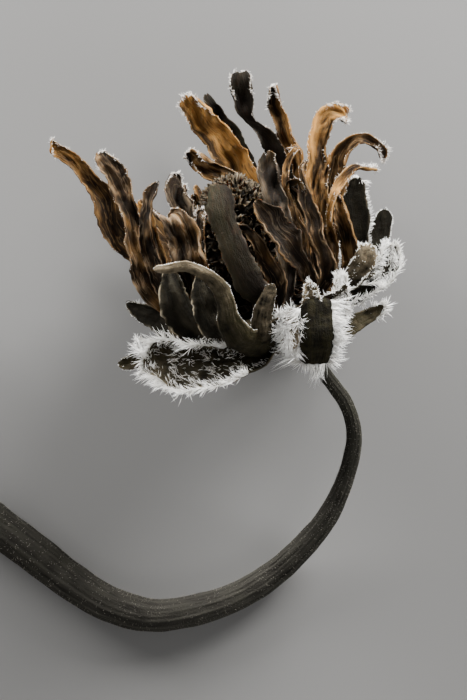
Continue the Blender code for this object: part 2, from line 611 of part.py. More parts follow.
def add_floret(bm, k):
    """One tube floret, standing square on the dome and flared at its mouth."""
    rise = 1.0 - 0.9 * (k + 0.5) / FLORET_COUNT  # 1 at the crown, near 0 at the rim
    level = math.sqrt(1.0 - rise**2)
    turn = k * GOLDEN_ANGLE
    outward = ACROSS * math.cos(turn) + FRONT * math.sin(turn)
    foot = HEAD + AXIS * (GAP + DOME_HEIGHT * rise) + outward * DOME_RADIUS * level
    normal = unit(outward * level / DOME_RADIUS + AXIS * rise / DOME_HEIGHT)
    side = unit(np.cross(normal, outward + 0.01 * ACROSS))
    other = np.cross(normal, side)
    made = bmesh.ops.create_cone(
        bm, cap_ends=True, segments=FLORET_SIDES, radius1=FLORET_SIZE * 0.8, radius2=FLORET_SIZE, depth=1.0
    )
    buried = 1.5
    for vert in made["verts"]:
        x, y, z = vert.co
        height = (z + 0.5) * (FLORET_REACH + buried) - buried
        vert.co = (foot + side * x + other * y + normal * height) * MM


def build_stem():
    line = smooth_line([(*(HEAD + np.array(row[:3])), row[3]) for row in STEM_LINE], STEM_STATIONS)
    centres = line[:, :3]
    radii = line[:, 3]
    centres[:, 2] = np.maximum(centres[:, 2], radii * FLOOR_CONTACT)
    normals = np.gradient(centres, axis=0)
    normals /= np.linalg.norm(normals, axis=1)[:, None]
    stem = add_object("stem", tube_mesh(centres, radii, normals, STEM_SIDES, -UP))
    dress(stem, "dried_stem", (0.12, 0.11, 0.08), 0.8)


def main():
    for obj in list(bpy.data.objects):
        bpy.data.objects.remove(obj)
    build_stem()
    build_involucre()
    build_rays()
    build_disc()


main()
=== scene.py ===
"""Dresses a dried sunflower that lies on a table: fine petals, bracts, bristles, florets and stem.

Laid out as a Blender 4.5 add-on and run as a script. Each fine piece grows along the same line as its solid
in the frame. Shapes are worked out in millimetres and written to Blender in metres.
"""

import math
from collections import namedtuple

import bmesh
import bpy
import numpy as np
from bpy.props import FloatProperty, FloatVectorProperty, IntProperty, PointerProperty
from bpy.types import Operator, Panel, PropertyGroup
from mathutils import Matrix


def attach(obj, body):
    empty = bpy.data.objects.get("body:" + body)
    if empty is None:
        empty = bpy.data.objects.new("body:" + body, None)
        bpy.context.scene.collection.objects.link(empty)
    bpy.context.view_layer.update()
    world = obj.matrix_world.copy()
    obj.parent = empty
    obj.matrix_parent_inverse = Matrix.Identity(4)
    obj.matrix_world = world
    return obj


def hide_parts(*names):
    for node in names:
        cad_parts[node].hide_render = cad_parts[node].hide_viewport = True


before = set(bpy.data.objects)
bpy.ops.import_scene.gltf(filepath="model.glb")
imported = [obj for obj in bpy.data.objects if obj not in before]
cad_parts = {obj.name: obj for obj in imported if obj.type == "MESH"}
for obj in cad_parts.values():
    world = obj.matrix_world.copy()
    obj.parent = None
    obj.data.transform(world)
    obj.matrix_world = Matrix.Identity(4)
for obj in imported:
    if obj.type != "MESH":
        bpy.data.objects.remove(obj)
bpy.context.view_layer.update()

bl_info = {
    "name": "Dried Sunflower",
    "version": (1, 0, 0),
    "blender": (4, 5, 0),
    "location": "View3D > Sidebar > Sunflower",
    "description": "Grows the fine pieces of a dried sunflower round its solids",
    "category": "Add Mesh",
}

MM = 0.001

# The head: the middle of its rim and the way it faces, as in the solids.
HEAD = np.array([25.0, 12.0, 31.0])
FACING_ANGLE = math.radians(103.0)  # from +X, seen from above
FACING_LIFT = math.radians(10.0)  # above level
RIM_RADIUS = 22.6
RAY_ROOT_RADIUS = 19.0
RAY_ROOT_HEIGHT = 1.6
BRACT_RADII = (20.8, 15.5)  # upper and lower whorl
BRACT_DEPTHS = (2.2, 5.4)
BRACT_CLEAR = 22.4  # from the axis, where bracts pass the rays' roots
BRACT_CLEAR_FROM = -0.5  # along the axis from the rim
RECEPTACLE_LEAN = 3.0  # how far its middle shifts towards the neck's side at the lower whorl
NECK_GAP = 0.3
DOME_RADIUS = 12.4
DOME_HEIGHT = 32.0
CLEAR_RADIUS = 16.6  # of the dome that petals stay out of, with the disc's florets inside
CLEAR_HEIGHT = 36.2
GOLDEN_ANGLE = math.pi * (3.0 - math.sqrt(5.0))

AXIS = np.array(
    [
        math.cos(FACING_ANGLE) * math.cos(FACING_LIFT),
        math.sin(FACING_ANGLE) * math.cos(FACING_LIFT),
        math.sin(FACING_LIFT),
    ]
)
ACROSS = np.array([math.sin(FACING_ANGLE), -math.cos(FACING_ANGLE), 0.0])
FRONT = np.cross(ACROSS, AXIS)
UP = np.array([0.0, 0.0, 1.0])

# One ray floret or bract. azimuth is where it grows round the rim, in degrees: 0 is right, 90 is on top of
# the lying head, 180 left and 270 underneath. path holds the points that its rib passes, in millimetres from
# the middle of the rim. lie is the angle of its face to the surface, 0 for flat and 90 for on edge, and
# widths its width, both at even steps from root to tip. Near its root it turns to face the head's axis. cup
# is the half angle that its section bends through, and wave the height of its edge's waves.
Blade = namedtuple("Blade", "azimuth path lie widths cup wave")

# Ray florets that show from above, left to right.
RAYS = {
    "far_left": Blade(
        186, [(-29, 12, -3), (-36, 21.2, -3), (-38.9, 28.7, -2), (-42.6, 33.7, -1),
              (-46.4, 37.2, 0), (-49.8, 39.8, 1), (-51, 40.6, 2), (-50.4, 41.6, 3)],
        (60, 30, 5, -10, -20),
        (3.4, 3.8, 4.2, 4.4, 4.8, 6.0, 7.4, 7.8, 6.6, 5.0, 4.4, 4.0, 3.4), 50, 0.5),
    "left_veined": Blade(
        168, [(-28.2, 10, 5), (-29.4, 15, 6), (-30.9, 22, 7), (-33, 28.7, 7), (-35.5, 33.7, 6.5),
              (-38, 37.5, 6), (-39.2, 39.2, 5)],
        (30, 10, -10, 0, 15),
        (4.2, 5.6, 6.8, 7.6, 7.8, 7.6, 6.2, 4.8, 4.6, 6.0, 6.6, 5.0, 3.8), 36, 0.4),
    "left_dark": Blade(
        152, [(-25.3, 12, 10), (-26.5, 18.7, 11), (-26.7, 24.5, 11), (-25.5, 28.2, 10), (-24, 30.7, 9)],
        (20, 30, 45), (3.4, 4.6, 5.2, 4.6, 2.2), 42, 0.4),
    "crumpled": Blade(
        138, [(-15.4, 8, 15.5), (-17, 13.5, 17), (-18.6, 18.5, 17.4), (-20.8, 21.6, 16), (-22.2, 21, 13.4)],
        (0, 10, 0, -20), (4.2, 7.2, 9.0, 8.2, 5.0), 34, 1.0),
    "left_hooked": Blade(
        158, [(-17.6, 9, 6), (-16.9, 18, 6), (-18.4, 25.3, 5), (-20, 28.6, 4),
              (-20, 31, 2.5), (-18.2, 31.2, 0.5)],
        (20, 10, 0, -30), (3.4, 5.4, 6.8, 6.6, 5.0), 42, 0.5),
    "inner_left": Blade(
        128, [(-13.4, 8, 14), (-14.2, 14, 14.6), (-14, 19.5, 14), (-13.2, 23.8, 12.5)],
        (20, 10, 20), (3.0, 3.8, 4.0, 2.6), 45, 0.6),
    "small_curl": Blade(
        236, [(-8, 18, -13), (-4.6, 30, -9), (-5.4, 33, -8), (-8.7, 34.6, -7.5), (-12.2, 36, -7),
              (-14.7, 37.8, -6), (-17.4, 39.4, -5)],
        (40, 20, 0, 0), (3.0, 3.0, 3.0, 3.4, 5.2, 5.4), 50, 0.6),
    "orange_broad": Blade(
        256, [(0.2, 20, -14), (-2, 30, -12.5), (-5.2, 37.5, -11.5), (-9.5, 43.5, -10.5), (-13, 48, -10),
              (-15.8, 51.8, -9.5), (-17.2, 54.8, -9)],
        (10, 5, 0, 12), (3.4, 5.8, 8.2, 9.4, 8.8, 7.6, 6.6), 36, 0.3),
    "back_olive": Blade(
        264, [(2, 24, -20), (-1.5, 36, -19.5), (-6.2, 46.2, -19), (-11.2, 52.5, -18.5), (-13.4, 56, -18)],
        (20, 10, -20), (3.0, 3.0, 3.4, 4.2, 4.2, 3.0), 30, 0.2),
    "twisted_spoon": Blade(
        288, [(8.7, 20, -18), (9.6, 30, -17), (8.7, 37.5, -16), (5.7, 41.7, -16), (2.7, 45, -15.5),
              (-1.7, 49.5, -15), (-3.4, 54.4, -14.3), (-4.2, 61.2, -13)],
        (15, 10, 20, 30, 10, 5),
        (3.2, 3, 2.8, 2.8, 3, 3.8, 5, 6, 6.2, 4.8, 2.2, 4.8, 5.8, 5.6), 24, 0.15),
    "tall_twist": Blade(
        308, [(13.6, 18, -13), (13.2, 27.5, -11), (12, 33.7, -10), (10, 40, -9),
              (7.7, 45, -8.5), (6, 49.5, -8), (4.8, 53.2, -8), (5, 56.8, -7.5)],
        (10, 30, 60, 20, 30), (3.2, 3.2, 2.8, 3.6, 4.8, 4.2, 3.4), 48, 0.4),
    "bright_strap": Blade(
        22, [(17.9, 13.7, 6), (16.4, 18.7, 5.5), (15.2, 25, 4.5), (14.7, 31.2, 3.5), (15, 37.5, 2.5),
             (15.5, 43, 1.5), (16.2, 46.8, 0.8), (17.8, 48.7, 0), (20, 48.8, -1), (21.4, 47.4, -2)],
        (20, 10, 0, -10), (3.6, 4.4, 5.6, 6.4, 6.4, 5.6, 5.4, 5.4), 40, 0.5),
    "arched": Blade(
        340, [(18.8, 20, -6), (18.6, 28.7, -5.5), (19.8, 33.7, -5), (21.2, 38, -4.5), (22.8, 41, -4),
              (25.2, 43, -4), (27.9, 43.2, -4), (30.3, 41.5, -4), (32.2, 38.3, -4)],
        (15, 10, 10, 20, 30), (3.4, 4.4, 5.8, 7.2, 7.4, 4.4, 2.8, 2.6), 40, 0.4),
    "pale_hook": Blade(
        354, [(18.2, 17, 5), (17.8, 25, 8), (20.2, 29.6, 6.5), (22.3, 33.2, 4.5), (24.6, 35.2, 3.5),
              (27, 35, 3), (29.4, 35.5, 3)],
        (20, 20, 30, 40), (2.4, 1.8, 1.7, 1.8, 2.8, 3.0, 2.4), 45, 0.3),
    "right_short": Blade(
        8, [(23, 10, 5), (22.4, 18.7, 7), (21, 23.7, 7.5), (20, 28.2, 6.5)],
        (15, 20, 30), (3.6, 5.0, 5.6, 4.6, 1.8), 58, 0.5),
    "right_front": Blade(
        42, [(16.8, 10, 15.2), (14.5, 18, 14.5), (12.2, 26, 12.5), (11.2, 33, 10), (11.5, 37, 9)],
        (0, 15, 30), (3.8, 5.0, 4.8, 3.6, 1.8), 45, 0.5),
    "front_petal": Blade(
        54, [(12.4, 5.5, 18.4), (10.6, 10.9, 20.8), (7.5, 14.7, 21.8), (4.2, 18.6, 22), (1.6, 23.2, 21.4),
             (0.25, 25.8, 20.4)],
        (-10, -5, -15, 0), (3.4, 4.0, 5.4, 8.6, 7.8, 2.8), 46, 0.1),
    "front_curl": Blade(
        80, [(4.5, 5.5, 19.8), (2, 12, 20.8), (-0.7, 16.5, 20.8), (-3.5, 19.3, 20.8), (-6.2, 18.8, 21),
             (-7.2, 17, 21.5)],
        (10, 10, 10, 25), (3.6, 5.4, 5.0, 3.2, 2.4, 2.0), 42, 0.5),
    "front_long": Blade(
        88, [(1.2, 2, 22.6), (-2.2, 5.6, 25), (-5.4, 13, 27), (-8.2, 21, 27.5), (-9.2, 26, 27),
             (-9.8, 29.6, 25.8)],
        (0, 5, -10), (4.2, 6.6, 7.8, 7.0, 6.4, 7.4, 6.6), -30, 0.15),
    "middle_brown": Blade(
        72, [(7.2, 12, 17), (5, 22, 15.5), (3.6, 29, 13.5), (3, 34, 11.5), (2.6, 37.8, 10)],
        (0, -10, 15), (3.4, 4.8, 6.2, 6.2, 5.0), 36, 0.4),
    "middle_curl": Blade(
        50, [(11.4, 18, 11.5), (8, 26, 9), (6.9, 32.5, 8), (8.2, 38, 7), (9.6, 39.6, 6.5), (8, 40.4, 6)],
        (30, 25, 0), (2.8, 3.0, 2.6, 2.4, 2.0, 1.6), 45, 0.4),
    "inner_ring": Blade(
        30, [(13.6, 19, 8), (10.4, 27.5, 8.5), (8, 30.4, 9.5), (9.8, 31.4, 10.6), (11.6, 28.8, 11)],
        (20, 40, 20), (2.6, 3.0, 2.8, 2.2, 1.6), 50, 0.4),
    "left_behind": Blade(
        174, [(-23.6, 8, 1), (-25.8, 15, 1.5), (-27.6, 21, 2), (-29.6, 26.4, 2.5)],
        (20, 10, 0), (3.6, 5.6, 6.4, 5.8, 3.6), 40, 0.4),
}

# Bracts that show from above, left to right and round the stem, each with its whorl.
BRACTS = {
    "left_point": (0, Blade(
        184, [(-24.2, -2.4, -6), (-28.5, -0.6, -7), (-33, 2, -8)],
        (20, 10, 10), (5.4, 6.4, 6.4, 4.6, 1.4), 30, 0.3)),
    "left_boat": (1, Blade(
        100, [(-2, -13.2, 16.4), (-8.4, -15, 16), (-14.6, -14.8, 14.5), (-21, -13, 12.5),
              (-26.8, -10.8, 10)],
        (-30, -25, -5, 10), (7.0, 10.0, 13.0, 13.4, 9.0), 55, 0.5)),
    "left_under": (1, Blade(
        172, [(-13, -14, 4), (-19, -14, 3.5), (-25, -10.6, 2), (-29.5, -7.4, 1)],
        (-20, -10, 10), (6.6, 7.2, 5.4, 2.0), 45, 0.5)),
    "left_low": (1, Blade(
        200, [(-22, -9.6, -12), (-28.6, -12.2, -14), (-35.2, -13.6, -15)],
        (20, 10, 0), (5.0, 6.0, 6.4, 5.4, 2.6), 30, 0.3)),
    "left_inner": (0, Blade(
        134, [(-15.6, -5, 17), (-18.6, 0, 19.5), (-20.4, 4.6, 20.6), (-21.6, 9.4, 20)],
        (0, -20, -10), (7.2, 9.4, 8.4, 3.0), -36, 0.5)),
    "left_middle": (0, Blade(
        113, [(-8.6, -5.6, 21.4), (-11, -1, 23.6), (-12.4, 3.6, 24.8), (-13, 8.6, 24.6)],
        (0, -10, 0), (7.0, 9.0, 8.0, 3.0), -36, 0.5)),
    "front_arch": (1, Blade(
        86, [(-0.6, -9, 21), (-4.4, -7.6, 24.8), (-6.9, -3.4, 27.6), (-7.8, 1, 29.2), (-9.9, 5.2, 30.2),
             (-13.2, 8.2, 30.6), (-17.3, 9.2, 30.2), (-22, 9.2, 28.8), (-24.7, 8.9, 26.8)],
        (-20, 10, 25, 20), (6.0, 7.6, 8.6, 7.6, 5.0, 4.3, 3.3, 2.6, 1.8), -36, 0.3)),
    "front_inner": (0, Blade(
        94, [(0.6, -6.4, 22.2), (0.6, -3, 24.4), (2, 1, 25.6), (3, 5.6, 26)],
        (0, 0, 10), (5.0, 5.0, 4.4, 2.4), -26, 0.3)),
    "front_gap": (0, Blade(
        76, [(6.4, -1.2, 21.6), (7.6, -3, 23.4), (8, -6.4, 23), (7.6, -9.8, 21.6)],
        (0, 0, 0), (5.0, 5.2, 5.0, 3.6), -28, 0.4)),
    "front_tuft": (0, Blade(
        58, [(12.8, 0.6, 21.2), (12.6, 3.6, 22.6), (12.2, 6.0, 22.4)],
        (0, 0, 0), (4.6, 5.2, 4.4, 2.6), 28, 0.4)),
    "front_square": (0, Blade(
        60, [(12, 0.4, 20.4), (13.2, 1.6, 23.2), (13.7, -4, 24.4), (13.6, -9.6, 22.4), (13.5, -13.4, 20)],
        (10, 0, 0, -5), (6.4, 7.8, 8.4, 8.4, 8.2), -24, 0.2)),
    "right_ridge": (1, Blade(
        36, [(18.4, -5.6, 14), (19.3, -0.6, 16.4), (20, 4.4, 17), (20.4, 8.2, 16)],
        (-10, 0, 5, 0), (5.0, 4.6, 4.4, 4.0, 2.6), 35, 0.3)),
    "right_curl": (0, Blade(
        26, [(21.8, 6, 12.6), (24.2, 8.8, 14), (26, 12, 14.2), (26.3, 15.4, 12.6)],
        (0, 0, 10), (3.6, 3.2, 4.6, 7.2, 7.6, 5.6), 75, 0.6)),
    "right_under": (1, Blade(
        14, [(20.4, -0.4, 9), (23.2, 4.0, 10.5), (27, 4.9, 10.5), (30.4, 5.8, 10)],
        (0, 0, 0), (5.0, 4.4, 3.8, 3.4, 1.6), 50, 0.3)),
    "right_brush": (0, Blade(
        2, [(23.6, 3.6, 4), (27.8, 6.4, 5.4), (31.2, 9, 6), (32.6, 12.6, 5), (32.4, 16.2, 3.6)],
        (-10, 0, 0, 10), (5.4, 6.0, 6.4, 7.2, 6.4, 3.6), 60, 0.5)),
    "right_back": (1, Blade(
        342, [(21.5, -5.4, -8), (25.5, -3, -9), (29.5, -0.6, -10), (32.6, 0.9, -10.5)],
        (10, 5, 0), (5.0, 4.8, 4.0, 2.4), 25, 0.3)),
    "right_upright": (0, Blade(
        332, [(24.6, 6, -11), (25.2, 14.5, -12), (25.4, 25, -12), (25.2, 30.5, -12), (25.6, 34, -12)],
        (30, 15, 5), (5.0, 6.2, 7.2, 7.8, 7.2, 4.4), 30, 0.2)),
    "back_point": (0, Blade(
        316, [(25.6, 9, -18.5), (30.8, 17, -21), (32.8, 22.5, -21.5), (33.8, 26.6, -21.5)],
        (10, 5, 0), (4.6, 4.8, 5.6, 6.2, 3.8), 30, 0.2)),
}

# Runs of blades alike, mostly underneath: azimuths from first to last, how many, their whorl, lean from the
# head's axis, droop towards the tip, length, and widths at even steps.
Run = namedtuple("Run", "first last count whorl lean droop length widths")
RAY_RUNS = [
    Run(194, 224, 4, 0, 22, 2, 25, (3.2, 5.2, 5.8, 4.6, 2.4)),
    Run(233, 308, 9, 0, 26, 2, 33, (3.2, 5.4, 6.4, 5.0, 2.6)),
    Run(318, 342, 3, 0, 18, 2, 22, (3.2, 5.0, 5.4, 4.2, 2.2)),
    Run(238, 300, 5, 0, 6, 4, 27, (3.0, 4.6, 5.0, 3.8, 2.2)),
]
BRACT_RUNS = [
    Run(47, 18, 2, 0, 50, 16, 12, (6.4, 6.4, 5.0, 1.2)),
    Run(213, 302, 6, 0, 56, 22, 17, (6.4, 6.4, 5.0, 1.2)),
    Run(218, 316, 6, 1, 82, 22, 16, (6.4, 6.2, 4.8, 1.2)),
]
RUN_STEPS = (0.125, 0.375, 0.625, 0.875)  # shares of the length at which a blade's four legs take their way
RUN_CUPS = (25, 50)
RUN_WAVES = (0.3, 0.7)
RULE_SEED = 23
AZIMUTH_JITTER = 2.5
LEAN_JITTER = 5.0
DROOP_JITTER = 12.0
LENGTH_JITTER = 0.08
TWIST_JITTER = 35.0
ROOT_TWIST = 0.4  # of the twist, the other way at the root
SWAY_JITTER = 0.16

# The receptacle's line from neck to rim: two points into it from the neck, each with its radius, and then
# points given by how far they stand behind the rim and towards the neck's side.
NECK_LINE = [(NECK_GAP, 2.3), (2.6, 3.4)]
RECEPTACLE_LINE = [
    (8.2, 6.6, 9.0), (5.2, RECEPTACLE_LEAN, 17.6), (2.2, 0.0, RIM_RADIUS - 0.4), (0.0, 0.0, RIM_RADIUS)
]

# The stem's centre line from the neck, round the hook, to the stretch that lies on the surface, in
# millimetres from the middle of the rim, with its radius at each point.
STEM_LINE = [
    (13.8, -12.5, -0.6, 1.7), (16.3, -15.3, -1.6, 1.75), (19.4, -19.1, -3.4, 1.75), (22.3, -23.1, -5.6, 1.8),
    (24.2, -27.8, -8, 1.85), (24.9, -32.5, -10.6, 1.95), (24.1, -38.8, -14, 2.1), (21.9, -46.2, -17.6, 2.35),
    (18.5, -53.5, -20.8, 2.7), (12.8, -61, -24, 3.1), (5, -68.6, -27, 3.4), (-5.5, -75.1, -28.6, 3.7),
    (-17.3, -78.8, -29, 4), (-27.9, -79.8, -29, 4.3), (-38.4, -76.9, -29, 4.6), (-48.9, -70.5, -29, 4.8),
    (-58.1, -63.4, -29, 5), (-67.3, -56.6, -29, 5.1), (-76.5, -49.5, -29, 5.15), (-83.6, -43.7, -29, 5.2),
]

# How each ray floret dried, with light and shade painted on it. gold is painted light, where light comes
# through it, and dark where it is scorched and where painted shade lies, each as values at even steps from
# root to tip,
# and olive where it stayed greenish: 0 is none and 1 all, and a value past either end holds against the
# patches that the finish lays over it. rim is how pale its edges and veins are, the pale edges being painted
# light, fringe how long and thick the frayed fibres at its tip are, lean how much darker its right side is
# than its left, a painted shade on one side, crisp how deeply it is creased, and trough how much paler its
# margins are than its middle.
RayLook = namedtuple("RayLook", "gold dark olive rim fringe lean crisp trough", defaults=(0.3,))
RAY_LOOKS = {
    "far_left": RayLook((0.2, 0.2, 0.2, 0.5, 0.7), (0.9, 1.1, 1.0, 0.65, 0.5), 0.0, 0.8, 0.7, 0.1, 1.0),
    "left_veined": RayLook((0.4, 0.2, 0.1, 0.1), (0.7, 0.45, 0.5, 0.8), 0.35, 1.5, 0.7, 0.25, 1.2),
    "left_dark": RayLook((0.1, 0.05), (0.8, 0.95), 0.4, 0.7, 0.3, 0.0, 1.2),
    "crumpled": RayLook((0.1, 0.35, 0.1), (0.9, 0.75, 0.8), 0.5, 1.0, 0.4, -0.3, 2.2),
    "left_hooked": RayLook((0.1, 0.1, 0.1), (0.9, 0.9, 1.0), 0.6, 0.9, 0.9, 0.0, 1.7),
    "inner_left": RayLook((0.2, 0.2), (1.0, 0.9), 0.4, 0.6, 0.8, 0.0, 1.5),
    "small_curl": RayLook((0.2, 0.4, 0.3), (0.6, 0.5, 0.6), 0.2, 0.9, 0.7, 0.0, 1.5),
    "orange_broad": RayLook((0.7, 1.0, 1.3, 1.8), (1.2, 0.65, 0.35, -0.1), 0.0, 1.0, 0.9, -1.2, 1.3, 0.1),
    "back_olive": RayLook((0.0, 0.0), (0.75, 0.7), 0.95, 0.1, 0.2, 0.0, 0.5, 0.1),
    "twisted_spoon": RayLook((0.0, 0.0), (1.1, 1.15, 1.1), 0.95, 0.3, 0.8, 0.0, 0.4, 0.0),
    "tall_twist": RayLook((0.5, 0.9, 0.3), (0.6, 0.65, 0.9), 0.1, 0.8, 0.9, -0.6, 1.1, 0.1),
    "bright_strap": RayLook((0.7, 1.0, 1.0, 0.6), (1.0, 0.85, 0.65, 0.6), 0.0, 0.7, 1.1, 0.4, 1.9, 0.4),
    "arched": RayLook((0.9, 1.2, 0.6, 0.0), (0.9, 1.3, 1.7, 1.6), 0.1, 0.8, 1.0, 0.9, 1.0, 0.7),
    "pale_hook": RayLook(
        (0.6, 0.8, 1.0, 0.9, 0.3, 0.3), (0.3, 0.0, 0.0, 0.1, 0.7, 0.5), 0.0, 3.0, 1.1, 0.0, 1.0, 0.0),
    "right_short": RayLook((0.2, 0.5), (0.95, 0.5), 0.1, 1.4, 0.6, -0.4, 1.3, 0.2),
    "right_front": RayLook((0.1, 0.3, 0.3), (1.4, 1.35, 1.1), 0.3, 0.8, 0.3, -0.2, 1.1, 0.6),
    "front_petal": RayLook((0.35, 0.2, 0.15), (1.7, 1.4, 1.3, 1.5), 0.5, 0.2, 0.05, 0.6, 0.25, 1.0),
    "front_curl": RayLook((0.1, 0.2), (1.2, 1.15, 0.8), 0.3, 0.8, 0.3, 0.3, 0.9, 0.5),
    "front_long": RayLook((0.0, 0.0), (1.1, 0.6, 0.25, 0.25), 0.9, 0.3, 0.1, 0.9, 0.25, -0.3),
    "middle_brown": RayLook((0.1, 0.1), (1.1, 0.8), 0.7, 0.5, 0.3, 0.0, 1.2),
    "middle_curl": RayLook((0.3, 0.5), (0.8, 0.6), 0.1, 1.0, 0.5, 0.0, 1.0),
    "left_behind": RayLook((0.4, 0.6, 0.8), (0.9, 0.6, 0.3), 0.0, 1.3, 0.3, -0.2, 1.3, 0.3),
    "inner_ring": RayLook((0.1, 0.1), (0.8, 0.5), 0.5, 1.0, 0.6, 0.0, 1.3),
}
PLAIN_RAY = RayLook((0.15, 0.3, 0.4), (1.0, 0.85, 0.65), 0.15, 0.9, 0.25, 0.0, 1.1)

# How each bract dried, in the same way: taupe where it bleached, olive, dark, and how pale its edge is, which
# is painted light.
# bristle and hair are how long those on its edge and on its outer face are in millimetres, and dense how many
# hairs grow on a square millimetre. start is the share of its length from which bristles grow.
BractLook = namedtuple(
    "BractLook", "taupe olive dark rim bristle hair dense lean crisp start", defaults=(0.0, 1.0, 0.2)
)
BRACT_LOOKS = {
    "left_point": BractLook((0.0, 0.0), 0.2, (1.4, 1.2), 0.3, 0.3, 0.4, 0.0),
    "left_boat": BractLook((0.0, 0.2), 0.5, (0.8, 0.5), 0.6, 4.4, 1.6, 1.8),
    "left_under": BractLook((0.2, 0.2), 0.4, (0.5, 0.4), 0.5, 3.0, 1.2, 2.0),
    "left_low": BractLook((0.1, 0.1), 0.8, (0.5, 0.5), 0.2, 0.5, 0.6, 0.2),
    "left_inner": BractLook((0.0, 0.0), 0.5, (1.5, 1.5), 1.3, 0.25, 0.4, 0.0, 0.6, 2.6),
    "left_middle": BractLook((0.0, 0.0), 0.5, (1.6, 1.6), 1.3, 0.25, 0.4, 0.0, 0.6, 2.6),
    "front_arch": BractLook(
        (0.0, 0.0, 0.0, 0.1, 0.3, 0.55, 0.85, 0.95), 0.7, (0.6, 0.55, 0.5, 0.45, 0.3, 0.12),
        0.3, 0.3, 0.3, 0.0, -0.4),
    "front_inner": BractLook((0.4, 0.35), 0.5, (0.75, 0.65), 0.0, 0.3, 0.4, 0.0, 0.0, 1.5),
    "front_gap": BractLook((0.6, 0.9), 0.3, (0.6, 0.2), 0.1, 3.0, 2.6, 9.0),
    "front_tuft": BractLook((0.5, 0.7), 0.6, (0.6, 0.3), 0.1, 1.4, 1.4, 2.2),
    "front_square": BractLook((0.0, 0.0), 1.0, (1.0, 0.7), 0.0, 5.4, 0.3, 0.0),
    "right_ridge": BractLook((0.4, 0.4), 0.4, (0.4, 0.4), 0.6, 2.2, 1.9, 11.0),
    "right_curl": BractLook((0.2, 0.4, 0.8), 0.4, (0.9, 0.7, 0.4), 0.2, 1.0, 0.5, 0.5, 0.0, 1.8),
    "right_under": BractLook((0.0, 0.0), 0.3, (1.4, 1.4), 0.3, 2.8, 1.2, 0.0),
    "right_brush": BractLook((0.0, 0.3), 0.2, (1.2, 0.9), 0.5, 2.8, 2.0, 6.4),
    "right_back": BractLook((0.1, 0.2), 1.0, (0.6, 0.45), 0.0, 3.4, 0.6, 0.1, 0.0, 0.6, 0.75),
    "right_upright": BractLook((0.0, 0.0), 0.4, (1.2, 1.1), 0.3, 1.6, 0.7, 1.2),
    "back_point": BractLook((0.0, 0.0), 0.3, (1.2, 1.2), 0.1, 0.6, 0.5, 0.1),
}
PLAIN_BRACT = BractLook((0.2, 0.2), 0.5, (0.7, 0.6), 0.3, 1.6, 0.9, 1.0)

# How a kind of blade is worked: twist in degrees and sway in millimetres of its rib, angle and number of its
# lengthwise pleats, how far its edges roll in radians, depth and size of its creases, how uneven its width
# is, how tattered its tip is, how wide the tip stays, how far it curls, and height and number of its veins.
Style = namedtuple("Style", "twist sway pleat pleats roll crumple size ragged tatter tip curl vein veins")
RAY_STYLE = Style(5.0, 0.3, 0.2, 2.3, 1.2, 0.75, 5.0, 0.05, 0.5, 0.25, 0.9, 0.06, 2.5)
BRACT_STYLE = Style(4.0, 0.2, 0.2, 2.0, 0.4, 0.28, 4.2, 0.04, 0.3, 0.2, 0.3, 0.16, 1.0)

RAY_SEED = 41
BRACT_SEED = 43
DISC_SEED = 47
STEM_SEED = 53
BRACT_GRIDS = ((44, 12), (30, 8))  # faces along and across a blade that is listed, and one of a run
RAY_GRIDS = ((64, 18), (36, 12))

# The stem's skin, with heights and wavelengths in millimetres.
STEM_SIDES = 80
STEM_STATIONS = 340
STEM_RIDGES = (9, 14, 23)  # waves round it, one over the other
RIDGE_WAVE = 45.0  # in which the ridges drift round it and back
LUMP_WAVES = (9.0, 20.0)  # in which lumps rise and fall, and change sides
LUMP_HEIGHT = 0.12
SWELL_WAVE = 14.0
SWELL = 0.02  # of its radius
STEM_AGE = ((0.0, 0.25, 0.6, 1.0), (0.05, 0.55, 0.75, 0.35))  # shares of its length, and how grey it is there
# The cut end's rings: share of the radius, depth and pith, from none to all.
STEM_CUT = ((0.9, -0.1, 0.3), (0.8, 0.3, 1.0), (0.5, 1.1, 1.0), (0.0, 1.3, 1.0))
CUT_ROUGHNESS = 0.12

# The receptacle's skin.
RECEPTACLE_SIDES = 96
RECEPTACLE_STATIONS = 36
RECEPTACLE_DEPTH = 24.0  # along its skin from neck to rim
RECEPTACLE_RIBS = 17
RIB_HEIGHTS = (0.1, 0.5)  # at the neck and at the rim
RIB_WAVE = 9.0
RECEPTACLE_LUMPS = 5
RECEPTACLE_LUMP_HEIGHT = 0.3
RECEPTACLE_TOP = ((0.97, 0.3), (0.8, 0.25), (0.4, 0.2), (0.0, 0.2))  # share of radius, height over the rim
RECEPTACLE_TINT = (0.2, 0.5, 0.55)  # taupe, olive and dark, as a bract's
RECEPTACLE_HAIRS = (0.8, 1.1, -0.8)  # on a square millimetre, their length, and lean towards the neck

# The disc's florets. Pairs are the least and the most of a share.
FLORET_SIZE = 1.3
FLORET_SIZES = (0.55, 1.1)
FLORET_REACH = 3.0
FLORET_REACHES = (0.65, 1.05)
FLORET_BURIED = 0.8
FLORET_LEAN = 0.26  # how unevenly they lean from the dome's normal
FLORET_SHRINK = 0.18  # how unevenly they shrank
FLORETS_DOWN = 0.95  # of the dome's height
PAINTED_LIGHT_FROM = 0.2  # of the dome's height: lobes of florets below it, near the rim, stay dark as painted shade, and above it they grow paler as painted light
MOUTH_FROM = 0.55  # of a floret's height and radius
STIGMA_SHARE = 0.65  # of the florets whose lobes are painted paler
STIGMA_LENGTHS = (0.6, 1.5)
STIGMA_RADIUS = 0.09

